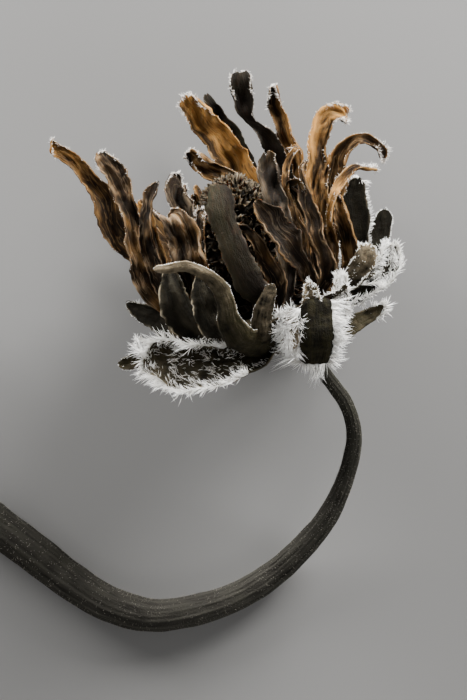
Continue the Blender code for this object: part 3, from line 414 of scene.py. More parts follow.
# Hairs and bristles.
HAIR_RADIUS = 0.11  # real ones are a third as thick, and would not show in the picture
HAIR_LIFT = 0.02  # least height over the floor
HAIR_BURIED = 0.1  # foot under the skin
HAIR_STEP = 0.2  # from a bract's middle to the feet of the hairs on its face
HAIR_SCATTER = 0.35  # how unevenly they lean
HAIR_LENGTHS = (0.5, 1.1)
FUZZ_LENGTHS = (0.4, 1.2)
FUZZ_GROWTH = (0.7, 1.1)  # from neck to cut
TUFT_WAVES = (1.6, 2.3)  # along a margin and out of its plane
BRISTLE_WAVE = 7.0  # in which bristles are longer and shorter, within these shares
BRISTLE_LIMITS = (0.35, 1.6)
LONG_BRISTLE = 2.0  # bristles longer than this grow closer together
LEAST_FRINGE = 0.15  # of a look: up to this none is grown
FRINGES = ((0.11, 1.0, 0.84), (0.55, 0.5, 0.3))  # spacing, share of full length, and start along a ray

FLOOR_SIZE = 2.4  # metres, as the lights' places and sizes are
LIGHTS = {
    "key": ((0.34, 0.46, 0.2), 0.3),
    "rim": ((-0.4, 0.42, 0.16), 0.3),
    "fill": ((0.3, -0.55, 0.35), 0.5),
}
SENSOR = 36.0
PICTURE_HEIGHT = 175.0  # of the scene from top to bottom, at the head
VIEW_SHIFT = np.array([-5.875, -10.0, 0.0])  # of the picture's middle from the head


def linear(colour):
    """A colour such as #9B6C38 as linear red, green, blue and 1."""
    shares = [int(colour[i:i + 2], 16) / 255 for i in (1, 3, 5)]
    return (*(c / 12.92 if c <= 0.04045 else ((c + 0.055) / 1.055) ** 2.4 for c in shares), 1.0)


# Lines and sheets of points, as in the solids.


def unit(vector):
    return vector / np.linalg.norm(vector)


def unit_rows(vectors):
    return vectors / np.maximum(np.linalg.norm(vectors, axis=-1, keepdims=True), 1e-9)


def distances(points):
    """How far along a line each of its points lies."""
    return np.concatenate([[0.0], np.cumsum(np.linalg.norm(np.diff(points, axis=0), axis=1))])


def past(t, start):
    """How far past its start something has come on its way to 1, itself from 0 to 1."""
    return np.clip((t - start) / (1 - start), 0.0, 1.0)


def around(azimuth):
    """The direction from the head's axis at an azimuth in degrees."""
    turn = math.radians(azimuth)
    return ACROSS * math.cos(turn) + FRONT * math.sin(turn)


def run_through(at, values, where):
    """A smooth run through the values that stand at the given places, read off at other places."""
    values = np.asarray(values, float)
    slopes = np.gradient(values, at, axis=0)
    span = np.clip(np.searchsorted(at, where, side="right") - 1, 0, len(at) - 2)
    shape = (-1,) + (1,) * (values.ndim - 1)
    width = (at[span + 1] - at[span]).reshape(shape)
    t = (where - at[span]).reshape(shape) / width
    return (
        (2 * t**3 - 3 * t**2 + 1) * values[span]
        + (t**3 - 2 * t**2 + t) * width * slopes[span]
        + (3 * t**2 - 2 * t**3) * values[span + 1]
        + (t**3 - t**2) * width * slopes[span + 1]
    )


def spread(values, t):
    """A smooth run through values that stand at even steps from root to tip."""
    return run_through(np.linspace(0.0, 1.0, len(values)), values, t)


def smooth_line(points, stations):
    """Points at equal steps along a smooth curve through the given ones. A row may hold a radius as well."""
    points = np.array(points, float)
    at = distances(points[:, :3])
    line = run_through(at, points, np.linspace(0.0, at[-1], 24 * len(points)))
    run = distances(line[:, :3])
    even = np.linspace(0.0, run[-1], stations)
    return np.stack([np.interp(even, run, line[:, k]) for k in range(line.shape[1])], axis=1)


def carried_sides(line):
    """Unit tangents and sideways directions along a line, turned as little as possible from its middle."""
    tangents = np.gradient(line, axis=0)
    tangents /= np.linalg.norm(tangents, axis=1)[:, None]
    sides = np.zeros_like(line)
    middle = len(line) // 2
    side = np.cross(tangents[middle], UP)
    if np.linalg.norm(side) < 0.2:
        side = np.cross(tangents[middle], AXIS)
    for order in (range(middle, len(line)), range(middle, -1, -1)):
        carried = side
        for i in order:
            carried = unit(carried - tangents[i] * (carried @ tangents[i]))
            sides[i] = carried
    return tangents, sides


def ease(t):
    return 0.5 - 0.5 * np.cos(np.pi * np.clip(t, 0.0, 1.0))


def clear_of_disc(points):
    """Moves points out of the dome that the disc and its florets fill."""
    offset = points - HEAD
    height = offset @ AXIS
    radial = np.linalg.norm(offset - height[..., None] * AXIS, axis=-1)
    reach = np.hypot(radial / CLEAR_RADIUS, height / CLEAR_HEIGHT)
    return HEAD + offset / np.minimum(reach, 1.0)[..., None]


def clear_of_collar(points):
    """Moves points that stand above the rim out past the rays' roots."""
    offset = points - HEAD
    height = (offset @ AXIS)[..., None]
    radial = offset - height * AXIS
    distance = np.linalg.norm(radial, axis=-1, keepdims=True)
    wanted = np.where(height > BRACT_CLEAR_FROM, np.maximum(distance, BRACT_CLEAR), distance)
    return points + radial * (wanted / distance - 1)


def ray_root(azimuth):
    return HEAD + around(azimuth) * RAY_ROOT_RADIUS + AXIS * RAY_ROOT_HEIGHT


def bract_root(whorl, azimuth):
    """A point just inside the receptacle's side."""
    middle = HEAD + ACROSS * RECEPTACLE_LEAN * whorl - AXIS * BRACT_DEPTHS[whorl]
    return middle + around(azimuth) * BRACT_RADII[whorl]


def receptacle_line(stations):
    """Centre line of the receptacle from neck to rim, with its radius at each station."""
    neck = np.array(STEM_LINE[0][:3])
    into = unit(neck - np.array(STEM_LINE[1][:3]))
    points = [(*(HEAD + neck + into * reach), radius) for reach, radius in NECK_LINE]
    points += [(*(HEAD - AXIS * back + ACROSS * beside), radius) for back, beside, radius in RECEPTACLE_LINE]
    return smooth_line(points, stations)


def run_blades(run, root_of, rng):
    """The blades of one run, each grown outward and up from its root, bending as it goes."""
    jitter = rng.uniform(-1, 1, run.count) * AZIMUTH_JITTER
    for azimuth in np.linspace(run.first, run.last, run.count) + jitter:
        lean, droop, size, sway, twist = rng.uniform(-1, 1, 5)
        lean = run.lean + lean * LEAN_JITTER
        droop = run.droop + droop * DROOP_JITTER
        length = run.length * (1 + size * LENGTH_JITTER)
        root = root_of(azimuth)
        outward = around(azimuth)
        beside = np.cross(AXIS, outward) * sway * SWAY_JITTER
        at = root - HEAD
        path = []
        for share in RUN_STEPS:
            angle = math.radians(lean + droop * share**1.5)
            way = AXIS * math.cos(angle) + outward * math.sin(angle) + beside * share * 2
            at = at + unit(way) * length / len(RUN_STEPS)
            path.append(tuple(at))
        along = unit(np.array(path[2]) - np.array(path[0]))
        side = unit(np.cross(along, UP))
        facing = math.degrees(math.atan2(outward @ side, -(outward @ np.cross(side, along))))
        lie = (facing - twist * TWIST_JITTER * ROOT_TWIST, facing, facing + twist * TWIST_JITTER)
        yield root, Blade(azimuth, path, lie, run.widths, rng.uniform(*RUN_CUPS), rng.uniform(*RUN_WAVES))


def all_rays():
    """Every ray floret's look, root and blade."""
    rng = np.random.default_rng(RULE_SEED)
    for name, blade in RAYS.items():
        yield RAY_LOOKS[name], ray_root(blade.azimuth), blade
    for run in RAY_RUNS:
        for root, blade in run_blades(run, ray_root, rng):
            yield PLAIN_RAY, root, blade


def all_bracts():
    """Every bract's look, root and blade."""
    rng = np.random.default_rng(RULE_SEED + 1)
    for name, (whorl, blade) in BRACTS.items():
        yield BRACT_LOOKS[name], bract_root(whorl, blade.azimuth), blade
    for run in BRACT_RUNS:
        for root, blade in run_blades(run, lambda a, w=run.whorl: bract_root(w, a), rng):
            yield PLAIN_BRACT, root, blade


# The fine shapes that dried tissue takes. Wavelengths and other lengths are in millimetres.

WAVELENGTHS = (0.6, 1.5)  # shares of the one asked for, from which each of three waves takes its own
TWIST_WAVE = 13.0
SWAY_WAVES = (12.0, 9.0)  # across its face and out of it
PLEAT_WAVE = 16.0
ROLL_WAVE = 14.0
RAGGED_WAVES = (3.5, 1.8)
VEIN_WAVE = 11.0
TATTER_WAVE = 2.8
RIM_WAVE = 7.0
EDGE_ROLL_FROM = 0.45  # share of the half width from which the edges roll
PALE_FROM = 0.84  # share of the half width from which they are pale
TIP_ROLL_FROM = 0.75  # share of the length from which they roll more
TIP_CURL_FROM = 0.86  # share of the length from which the tip curls up or down
SETTLED = 0.3  # the share of its length in which a blade turns from facing the axis to its own lie
SHADED = 0.5  # the share of its length in which a ray is darker towards its root, as painted shade
MEAN_SQUARE = 0.33  # of the places across a blade, so that a trough leaves it as dark as before on the whole
SKIN_SHIFT = 9.0  # from one blade to the next, so that no two have the same marks
FACING_UP = 6.0  # how much up counts beside each millimetre from the axis, where a blade's outside is sought


def wander(rng, at, wavelength):
    """A smooth random run between about -1 and 1 along distances in millimetres."""
    total = np.zeros(np.shape(at))
    for _ in range(3):
        wave = wavelength * rng.uniform(*WAVELENGTHS)
        total += np.sin(at * 2 * math.pi / wave + rng.uniform(0, 2 * math.pi))
    return total / 2.2


def creased(rng, u, v, size, stretch):
    """Heights from about -1 to 1 of a skin creased at random, over places in millimetres."""
    height = np.zeros(np.broadcast_shapes(np.shape(u), np.shape(v)))
    for _ in range(3):
        turn = rng.uniform(-1.2, 1.2)
        fold = size * rng.uniform(*WAVELENGTHS)
        across = u * math.cos(turn) + v * math.sin(turn) / stretch
        beside = v * math.cos(turn) / stretch - u * math.sin(turn)
        bend = 0.7 * np.sin(beside * 3.0 / fold + rng.uniform(0, 2 * math.pi))
        height += 2 / math.pi - np.abs(np.sin(across * math.pi / fold + bend + rng.uniform(0, 2 * math.pi)))
    return height / 2


# A blade's fine surface: its points, and at each point the distance across from its rib and along from its
# root in millimetres, the height of its creases and how near it is to a vein, from 0 to 1.
Surface = namedtuple("Surface", "points across along crease vein")


def blade_rib(blade, root, rows, style, rng):
    """Row by row: share and distance from the root, how settled the blade is there, its rib, and its ways.

    These three run along the rib, across the blade's face and out of it.
    """
    even = smooth_line([root] + [HEAD + np.array(p) for p in blade.path], 4 * rows)
    length = np.linalg.norm(np.diff(even, axis=0), axis=1).sum()
    t = 1 - (1 - np.linspace(0.0, 1.0, rows + 1)) ** 1.25  # closer rows towards the tip
    line = np.stack([np.interp(t, np.linspace(0.0, 1.0, len(even)), axis) for axis in even.T], axis=1)
    v = t * length
    settled = ease(t / SETTLED)
    tangents, sides = carried_sides(line)
    normals = np.cross(sides, tangents)
    outward = around(blade.azimuth)
    facing = math.degrees(math.atan2(outward @ sides[0], -(outward @ normals[0])))
    turn = (facing - blade.lie[0] + 90) % 180 - 90
    twist = style.twist * wander(rng, v, TWIST_WAVE) * settled
    lie = np.radians(spread(blade.lie, t) + turn * (1 - settled) + twist)[:, None]
    wide = np.cos(lie) * sides + np.sin(lie) * normals
    out = np.cos(lie) * normals - np.sin(lie) * sides
    sway = style.sway * settled
    for way, wave in zip((wide, out), SWAY_WAVES):
        line = line + way * (sway * wander(rng, v, wave))[:, None]
    return t, v, settled, line, tangents, wide, out


def rolled_section(bend, s, t, v, settled, style, crisp, rng):
    """How far each section of half width 1 reaches across from the rib and up from it, pleated and rolled."""
    drift = 1.2 * wander(rng, v, PLEAT_WAVE)[:, None]
    pleats = style.pleat * crisp * np.cos(math.pi * style.pleats * s + drift)
    curl = style.roll * (1 + 0.8 * ease(past(t, TIP_ROLL_FROM)))
    left, right = ((curl * (0.5 + 0.7 * wander(rng, v, ROLL_WAVE)))[:, None] for _ in range(2))
    rolled = np.where(s < 0, left, right) * np.sign(s) * past(np.abs(s), EDGE_ROLL_FROM)
    angle = bend * s + settled[:, None] * (pleats + math.copysign(1.0, bend) * rolled)

    def summed(values):
        steps = np.cumsum(values[:, 1:] + values[:, :-1], axis=1) / (s.size - 1)
        total = np.concatenate([np.zeros((len(v), 1)), steps], axis=1)
        return total - total[:, [s.size // 2]]

    sweep, rise = summed(np.cos(angle)), summed(np.sin(angle))
    fit = math.sin(bend) / bend / np.abs(sweep).max(axis=1, keepdims=True)
    return sweep * fit, rise * fit


def fine_surface(blade, root, rows, columns, style, crisp, rng):
    """The middle surface of a blade with the pleats, rolled edges, creases and veins of dried tissue."""
    t, v, settled, line, tangents, wide, out = blade_rib(blade, root, rows, style, rng)
    s = np.linspace(-1.0, 1.0, columns + 1)[None, :]
    sweep, rise = rolled_section(math.radians(blade.cup), s, t, v, settled, style, crisp, rng)

    ends = np.clip(0.4 * blade.widths[-1] / v[-1], 0.03, 0.1)
    tip = past(t, 1 - ends)
    kept = style.tip + 0.6 * (blade.widths[-1] / max(blade.widths)) ** 3
    half = (spread(blade.widths, t) / 2 * np.sqrt(1 - (1 - kept**2) * tip**2))[:, None]
    left, right = (style.ragged * sum(wander(rng, v, w) for w in RAGGED_WAVES)[:, None] for _ in range(2))
    ragged = 1 + np.where(s < 0, left, right) * np.abs(s)
    wave = np.outer(np.sin(t * 11.0 + blade.azimuth) * settled, s * np.abs(s)) * blade.wave * 0.8
    u = s * half
    crease = creased(rng, u, v[:, None], style.size, 1.7)
    crease += 0.4 * creased(rng, u, v[:, None], style.size / 2.6, 1.6)  # smaller ones over the large
    vein = np.abs(np.cos(math.pi * style.veins * (s + 0.1 * wander(rng, v, VEIN_WAVE)[:, None]))) ** 6
    facing_out = np.sign(np.sum(out * (line - HEAD - np.outer((line - HEAD) @ AXIS, AXIS))))
    lift = settled[:, None] * (style.crumple * crisp * crease + style.vein * facing_out * vein)
    lift += (style.curl * rng.choice((-1, 1)) * past(t, TIP_CURL_FROM) ** 2)[:, None]
    points = line[:, None] + wide[:, None] * (half * sweep * ragged)[:, :, None]
    points += out[:, None] * (half * rise + wave + lift)[:, :, None]
    tatter = style.tatter * min(crisp, 1.0) * wander(rng, s * half.max() + 50, TATTER_WAVE)
    points += tangents[:, None] * (tatter * (tip**2)[:, None])[:, :, None]
    return Surface(points, u, np.broadcast_to(v[:, None], crease.shape), crease, vein)


def uneven_rim(s, surface, rng):
    """How pale a blade is towards its two edges, from 0 to 1 and fading in and out along each."""
    sides = (np.clip(0.35 + 0.7 * wander(rng, surface.along[:, :1], RIM_WAVE), 0, 1) for _ in range(2))
    return past(np.abs(s), PALE_FROM) * np.where(s < 0, *sides)


def above_floor(points, height):
    """Lifts what would lie lower than the given height."""
    points[..., 2] = np.maximum(points[..., 2], height)
    return points


def face_normals(points):
    """Unit normals of a sheet, on the side that looks away from the head's axis, or up if that is unclear."""
    normals = unit_rows(np.cross(np.gradient(points, axis=0), np.gradient(points, axis=1)))
    offset = points - HEAD
    radial = offset - (offset @ AXIS)[..., None] * AXIS
    return normals * (1.0 if np.sum(normals * (radial + FACING_UP * UP)) > 0 else -1.0)


def grown(blades, named, grids, style, crispness, clear, half_wall, rng):
    """Grows each blade. Gives its look, surface, points, skin, shares across and along, and pale rim."""
    for number, (look, root, blade) in enumerate(blades):
        rows, columns = grids[0] if number < named else grids[1]
        surface = fine_surface(blade, root, rows, columns, style, look.crisp * crispness, rng)
        points = above_floor(clear(surface.points), half_wall)
        skin = np.stack([surface.across, surface.along, 0 * surface.along + number * SKIN_SHIFT], axis=2)
        s = np.linspace(-1, 1, columns + 1)[None, :]
        t = np.linspace(0, 1, rows + 1)
        yield look, surface, points, skin, s, t, uneven_rim(s, surface, rng)


# Mesh work.


def layers_of(bm):
    """The layers that every piece carries: its unrolled place in millimetres, and how it dried."""
    return bm.verts.layers.float_vector.new("skin"), bm.verts.layers.float_color.new("tint")


def add_sheet(bm, layers, points, skin, tint):
    """Adds a grid to a bmesh and moves its corners to the given rows of points."""
    rows, columns = points.shape[:2]
    made = bmesh.ops.create_grid(bm, x_segments=rows - 1, y_segments=columns - 1, size=0.5)
    for vert in made["verts"]:
        i = round((vert.co.x + 0.5) * (rows - 1))
        j = round((vert.co.y + 0.5) * (columns - 1))
        vert.co = points[i, j] * MM
        vert[layers[0]] = skin[i, j]
        vert[layers[1]] = tint[i, j]


def finished_piece(name, mesh, material, node):
    """Links a piece with its material, sets it to ride on the root, and hides the solid that it stands for.
    """
    mesh.shade_smooth()
    mesh.materials.append(material)
    piece = bpy.data.objects.new(name, mesh)
    bpy.context.scene.collection.objects.link(piece)
    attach(piece, "root")
    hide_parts(node)
    return piece


def give_wall(piece, thickness):
    """Gives a sheet its thickness, half to each side."""
    wall = piece.modifiers.new("thickness", "SOLIDIFY")
    wall.thickness = thickness
    wall.offset = 0.0


def mesh_of(name, bm):
    mesh = bpy.data.meshes.new(name)
    bm.to_mesh(mesh)
    bm.free()
    return mesh


def rings_round(ways, start, sides):
    """The turns round a line and the unit direction of each, ring by ring, from the side where they start."""
    turns = np.linspace(0.0, 2 * math.pi, sides + 1)[None, :]
    first = unit_rows(start - ways * (ways @ start)[:, None])
    second = np.cross(ways, first)
    return turns, np.cos(turns)[:, :, None] * first[:, None] + np.sin(turns)[:, :, None] * second[:, None]


def tube_piece(name, body, end, material, node):
    """A closed tube from a body's rings of points, skin and tints, a point before them and an end after.

    Gives the points of the body's rings. The rolled-up sheet is joined along its seam and at its poles.
    """
    points, skin, tint = body
    start = (points[0].mean(axis=0) + 0 * points[0], skin[0], tint[0])
    points, skin, tint = (np.array(part) for part in zip(start, *zip(*body), *end))
    bm = bmesh.new()
    add_sheet(bm, layers_of(bm), above_floor(points, 0.0), skin, tint)
    bmesh.ops.remove_doubles(bm, verts=bm.verts, dist=1e-6)
    bmesh.ops.holes_fill(bm, edges=[e for e in bm.edges if e.is_boundary], sides=0)
    bmesh.ops.recalc_face_normals(bm, faces=bm.faces)
    finished_piece(name, mesh_of(name, bm), material, node)
    return points[1:len(body[0]) + 1]


def template_of(bm):
    """The points and faces of a small shape that is to be copied."""
    bm.verts.index_update()
    points = np.array([vert.co for vert in bm.verts])
    faces = [[vert.index for vert in face.verts] for face in bm.faces]
    bm.free()
    return points, faces


def hair_template(rings):
    """A closed three-sided cone of unit height and radius, cut into rings so that it can bend."""
    bm = bmesh.new()
    bmesh.ops.create_cone(bm, cap_ends=True, segments=3, radius1=1.0, radius2=0.0, depth=1.0)
    bmesh.ops.translate(bm, vec=(0.0, 0.0, 0.5), verts=bm.verts)
    for ring in range(1, rings):
        whole = bm.verts[:] + bm.edges[:] + bm.faces[:]
        bmesh.ops.bisect_plane(bm, geom=whole, plane_co=(0, 0, ring / rings), plane_no=(0, 0, 1))
    bmesh.ops.remove_doubles(bm, verts=bm.verts, dist=1e-5)
    bmesh.ops.recalc_face_normals(bm, faces=bm.faces)
    return template_of(bm)


def copies_mesh(name, faces, placed, skin, tint):
    """A mesh of many copies of a small shape, from each copy's own points."""
    count, size = placed.shape[:2]
    corners = np.array([v for face in faces for v in face])
    starts = np.cumsum([0] + [len(face) for face in faces[:-1]])
    copies = np.arange(count)[:, None]
    mesh = bpy.data.meshes.new(name)
    mesh.vertices.add(count * size)
    mesh.loops.add(count * len(corners))
    mesh.polygons.add(count * len(faces))
    mesh.vertices.foreach_set("co", (placed * MM).astype(np.float32).ravel())
    mesh.loops.foreach_set("vertex_index", (corners + size * copies).astype(np.int32).ravel())
    mesh.polygons.foreach_set("loop_start", (starts + len(corners) * copies).astype(np.int32).ravel())
    mesh.update(calc_edges=True)
    for layer, kind, field, values in (
        ("skin", "FLOAT_VECTOR", "vector", skin),
        ("tint", "FLOAT_COLOR", "color", tint),
    ):
        data = mesh.attributes.new(layer, kind, "POINT").data
        data.foreach_set(field, values.astype(np.float32).ravel())
    return mesh


# Hairs to grow: their feet, ways and lengths in millimetres.
Hairs = namedtuple("Hairs", "feet ways lengths")


def joined(parts):
    return Hairs(*(np.concatenate(rows) for rows in zip(*parts)))


def hair_piece(name, hairs, rings, radius, bend, rng, material, node):
    """A piece of hairs, each bent its own way and thinning to a point."""
    template, faces = hair_template(rings)
    height = template[:, 2]
    taper = np.where(height < 0.99, (1.0 - 0.99 * height) ** -0.45, 0.0)  # stays thick until near its point
    ways = unit_rows(hairs.ways)
    one = unit_rows(np.cross(ways, unit_rows(rng.normal(size=ways.shape))))
    two = np.cross(ways, one)
    lengths = hairs.lengths[:, None, None]
    thick = radius * (0.7 + 0.3 * np.minimum(lengths / 2, 1.5))
    curl = bend * rng.uniform(0.2, 1.0, (len(ways), 1, 1))
    placed = hairs.feet[:, None] + ways[:, None] * height[None, :, None] * lengths
    placed = placed + one[:, None] * (template[:, 0] * taper)[None, :, None] * thick
    placed = placed + two[:, None] * (template[:, 1] * taper)[None, :, None] * thick
    placed = placed + one[:, None] * curl * (height**2)[None, :, None] * lengths
    tint = np.zeros((*placed.shape[:2], 4))
    tint[:, :, 0] = height
    tint[:, :, 1] = rng.random((len(ways), 1))
    mesh = copies_mesh(name, faces, above_floor(placed, HAIR_LIFT), placed, tint)
    finished_piece(name, mesh, material, node)


def margin_hairs(points, normals, spacing, length, spread_out, start, rng):
    """Bristles along a sheet's edge, from a share of its length round its tip and back, in leaning tufts."""
    first = int(start * len(points))

    def margin(rows, inset):
        left, end, right = rows[first:, inset], rows[-1 - inset, 1:-1], rows[first:, -1 - inset]
        return np.concatenate([left, end, right[::-1]])

    rim = margin(points, 0)
    run = distances(rim)
    at = np.sort(rng.uniform(0.0, run[-1], max(int(run[-1] / spacing), 4)))

    def read(rows):
        return np.stack([np.interp(at, run, rows[:, k]) for k in range(3)], axis=1)

    away = unit_rows(read(rim - margin(points, 1)))
    face = unit_rows(read(margin(normals, 0)))
    tipward = unit_rows(points[-1].mean(axis=0) - points[first].mean(axis=0))
    beside, over = (wander(rng, at, wave)[:, None] for wave in TUFT_WAVES)
    tuft = beside * np.cross(away, face) + over * face
    ways = away + 0.35 * tipward + 0.3 * face + spread_out * (0.5 * tuft + 0.5 * rng.normal(size=away.shape))
    sizes = length * (0.55 + 0.45 * rng.random(len(at)))
    sizes *= np.clip(1 + 0.4 * wander(rng, at, BRISTLE_WAVE), *BRISTLE_LIMITS)
    return Hairs(read(rim) - away * HAIR_BURIED, ways, sizes)


def face_hairs(points, normals, crease, per_square, length, lean, rng):
    """Hairs scattered over a sheet's outer side, thickest along its ridges and leaning towards its tip."""
    one = points[1:, :-1] - points[:-1, :-1]
    two = points[:-1, 1:] - points[:-1, :-1]
    areas = np.linalg.norm(np.cross(one, two), axis=2)
    count = max(int(areas.sum() * per_square), 2)
    share = areas * np.clip(0.45 + 0.9 * crease[1:, 1:], 0.05, None) ** 2
    cells = rng.choice(areas.size, count, p=share.ravel() / share.sum())
    i, j = np.unravel_index(cells, areas.shape)
    a, b = rng.random((2, count, 1))
    feet = points[i, j] + one[i, j] * a + two[i, j] * b
    ways = normals[i, j] + lean * unit_rows(one[i, j]) + HAIR_SCATTER * rng.normal(size=feet.shape)
    return Hairs(feet, ways, length * rng.uniform(*HAIR_LENGTHS, count))


# Materials. Dry plant tissue is dull, and has the roughness of cork or felt.

DRY_SHINE = 0.06
WARM_GLOW = (1.0, 0.5, 0.25)  # red light goes deepest into it
NOISE_LOW = 0.3  # nearly all of a noise lies between these
NOISE_HIGH = 0.7
LINE_STRENGTH = 0.8


def add_node(tree, kind, inputs=(), **settings):
    """Adds a node with its settings. An input is given as a value or as the socket that feeds it."""
    node = tree.nodes.new(kind)
    for name, value in settings.items():
        setattr(node, name, value)
    for socket, value in dict(inputs).items():
        if isinstance(value, bpy.types.NodeSocket):
            tree.links.new(value, node.inputs[socket])
        else:
            node.inputs[socket].default_value = value
    return node


def new_material(name, subsurface=0.0, depth=0.0):
    """A material with its shader, whose even values are set on the shader itself, and the marks it reads.

    Light goes the given depth in millimetres into it.
    """
    material = bpy.data.materials.new(name)
    material.use_nodes = True
    tree = material.node_tree
    shader = tree.nodes["Principled BSDF"]
    shader.inputs["Specular IOR Level"].default_value = DRY_SHINE
    shader.inputs["Subsurface Weight"].default_value = subsurface
    shader.inputs["Subsurface Radius"].default_value = WARM_GLOW
    shader.inputs["Subsurface Scale"].default_value = depth * MM
    skin = add_node(tree, "ShaderNodeAttribute", attribute_name="skin")
    tint = add_node(tree, "ShaderNodeAttribute", attribute_name="tint")
    parts = add_node(tree, "ShaderNodeSeparateColor", {0: tint.outputs["Color"]})
    marks = (*parts.outputs, tint.outputs["Alpha"])
    return material, tree, shader, skin.outputs["Vector"], marks


def pattern(tree, place, across, along, detail):
    """A noise whose grains have the given sizes in the units of the place that it reads."""
    grains = {"Vector": place, "Scale": (1 / across, 1 / along, 1 / along)}
    scaled = add_node(tree, "ShaderNodeMapping", grains).outputs[0]
    return add_node(tree, "ShaderNodeTexNoise", {"Vector": scaled, "Scale": 1.0, "Detail": detail}).outputs[0]


def swing(tree, amount, noise, size):
    """An amount moved up and down by a noise, kept from 0 to 1."""
    moved = add_node(tree, "ShaderNodeMapRange", {0: noise, 1: NOISE_LOW, 2: NOISE_HIGH, 3: -size, 4: size})
    both = {0: amount, 1: moved.outputs[0]}
    return add_node(tree, "ShaderNodeMath", both, operation="ADD", use_clamp=True).outputs[0]


def coated(tree, colour, *coats):
    """A colour with others laid over it one by one, each by its share."""
    for share, over in coats:
        mix = add_node(tree, "ShaderNodeMix", {0: share, 6: colour, 7: over}, data_type="RGBA")
        colour = mix.outputs[2]
    return colour


def thin_lines(tree, noise, width):
    """Lines where a noise passes its middle value, which fork and join as veins do."""
    off = add_node(tree, "ShaderNodeMath", {0: noise, 1: 0.5}, operation="SUBTRACT").outputs[0]
    off = add_node(tree, "ShaderNodeMath", {0: off}, operation="ABSOLUTE").outputs[0]
    faded = {0: off, 1: 0.0, 2: width, 3: LINE_STRENGTH, 4: 0.0}
    return add_node(tree, "ShaderNodeMapRange", faded).outputs[0]


def finish(tree, shader, colour, noise, roughness, heights=(), proud=0.0):
    """Sets the colour, the roughness that a noise moves from low to high, and bumps.

    These are the sum of some noises, each of which stands up to the given millimetres proud.
    """
    tree.links.new(colour, shader.inputs["Base Color"])
    low, high = roughness
    moved = add_node(tree, "ShaderNodeMapRange", {0: noise, 1: NOISE_LOW, 2: NOISE_HIGH, 3: low, 4: high})
    tree.links.new(moved.outputs[0], shader.inputs["Roughness"])
    if heights:
        total = heights[0]
        for height in heights[1:]:
            total = add_node(tree, "ShaderNodeMath", {0: total, 1: height}, operation="ADD").outputs[0]
        bump = add_node(tree, "ShaderNodeBump", {"Height": total, "Distance": proud * MM, "Strength": 1.0})
        tree.links.new(bump.outputs[0], shader.inputs["Normal"])


def petal_material(settings):
    """Dried ray floret: thin papery skin, painted gold where light comes through, and scorched brown darkened
    by painted shade in its folds.
    """
    material, tree, shader, skin, (gold, dark, olive, rim) = new_material("dried_ray_floret", 0.25, 0.5)
    fibres = pattern(tree, skin, 0.35, 4.0, 2.0)  # lengthwise fibres 0.35 mm apart
    veins = pattern(tree, skin, 0.9, 14.0, 1.0)  # and veins 0.9 mm apart
    mottle = pattern(tree, skin, 2.6, 6.0, 3.0)
    patches = pattern(tree, skin, 4.0, 9.0, 2.0)
    wrinkles = pattern(tree, skin, 0.9, 2.2, 3.0)
    grain = pattern(tree, skin, 0.25, 0.25, 2.0)
    warm = swing(tree, swing(tree, gold, mottle, 0.45), fibres, 0.15)
    green = swing(tree, olive, mottle, 0.12)
    dark_and_shade = swing(tree, swing(tree, dark, veins, 0.08), patches, 0.35)
    scored = thin_lines(tree, pattern(tree, skin, 1.1, 12.0, 2.0), 0.03)

    # Pale lines run along it, fainter where it is olive, and the dark, which is scorch and painted shade,
    # covers them only in part.
    faint = add_node(tree, "ShaderNodeMapRange", {0: olive, 1: 0.3, 2: 0.9, 3: 1.0, 4: 0.1}).outputs[0]
    lines = thin_lines(tree, pattern(tree, skin, 2.0, 13.0, 3.0), 0.022)
    lines = add_node(tree, "ShaderNodeMath", {0: lines, 1: faint}, operation="MULTIPLY").outputs[0]
    over_lines = {0: lines, 1: 0.0, 2: LINE_STRENGTH, 3: 0.95, 4: 0.6}
    cover = add_node(tree, "ShaderNodeMapRange", over_lines).outputs[0]
    cover = add_node(tree, "ShaderNodeMath", {0: dark_and_shade, 1: cover}, operation="MULTIPLY").outputs[0]
    # The pale colour of the veins, and of the painted light on the edges and on the crests of the creases.
    lit_rim_and_vein_colour = coated(tree, settings.rim, (olive, settings.pale_tone))
    colour = coated(
        tree, settings.brown, (warm, settings.gold), (green, settings.olive), (scored, settings.brown),
        (lines, lit_rim_and_vein_colour), (cover, settings.dark), (rim, lit_rim_and_vein_colour)
    )
    finish(tree, shader, colour, mottle, (0.5, 0.8), (fibres, veins, wrinkles, wrinkles, grain), 0.2)
    return material


def bract_material(settings):
    """Dried leafy bract: coarse dull skin, olive to near black with painted shade in its folds, and paler
    ribs and edges, the edges painted light.
    """
    material, tree, shader, skin, (taupe, olive, dark, rim) = new_material("dried_hairy_bract", 0.1, 0.5)
    fibres = pattern(tree, skin, 0.35, 5.0, 3.0)  # lengthwise fibres 0.35 mm apart
    mottle = pattern(tree, skin, 1.8, 1.8, 4.0)
    wrinkles = pattern(tree, skin, 1.0, 1.8, 3.0)
    grain = pattern(tree, skin, 0.3, 0.3, 2.0)
    green = swing(tree, olive, mottle, 0.3)
    pale_tone = swing(tree, taupe, fibres, 0.15)
    dark_and_shade = swing(tree, swing(tree, dark, mottle, 0.3), fibres, 0.2)
    colour = coated(
        tree, settings.brown, (green, settings.olive), (pale_tone, settings.taupe), (dark_and_shade, settings.dark),
        (rim, settings.rim)
    )
    finish(tree, shader, colour, mottle, (0.65, 0.9), (fibres, mottle, wrinkles, wrinkles, grain), 0.22)
    return material


def bristle_material(name, root, tip):
    """Stiff plant hair: clear and glassy, so it looks white where light gathers in it."""
    material, tree, shader, skin, (height, own, _, _) = new_material(name)
    share = add_node(tree, "ShaderNodeMath", {0: height, 1: own}, operation="MAXIMUM", use_clamp=True)
    colour = coated(tree, root, (share.outputs[0], tip))
    finish(tree, shader, colour, pattern(tree, skin, 0.5, 0.5, 1.0), (0.35, 0.5))
    return material


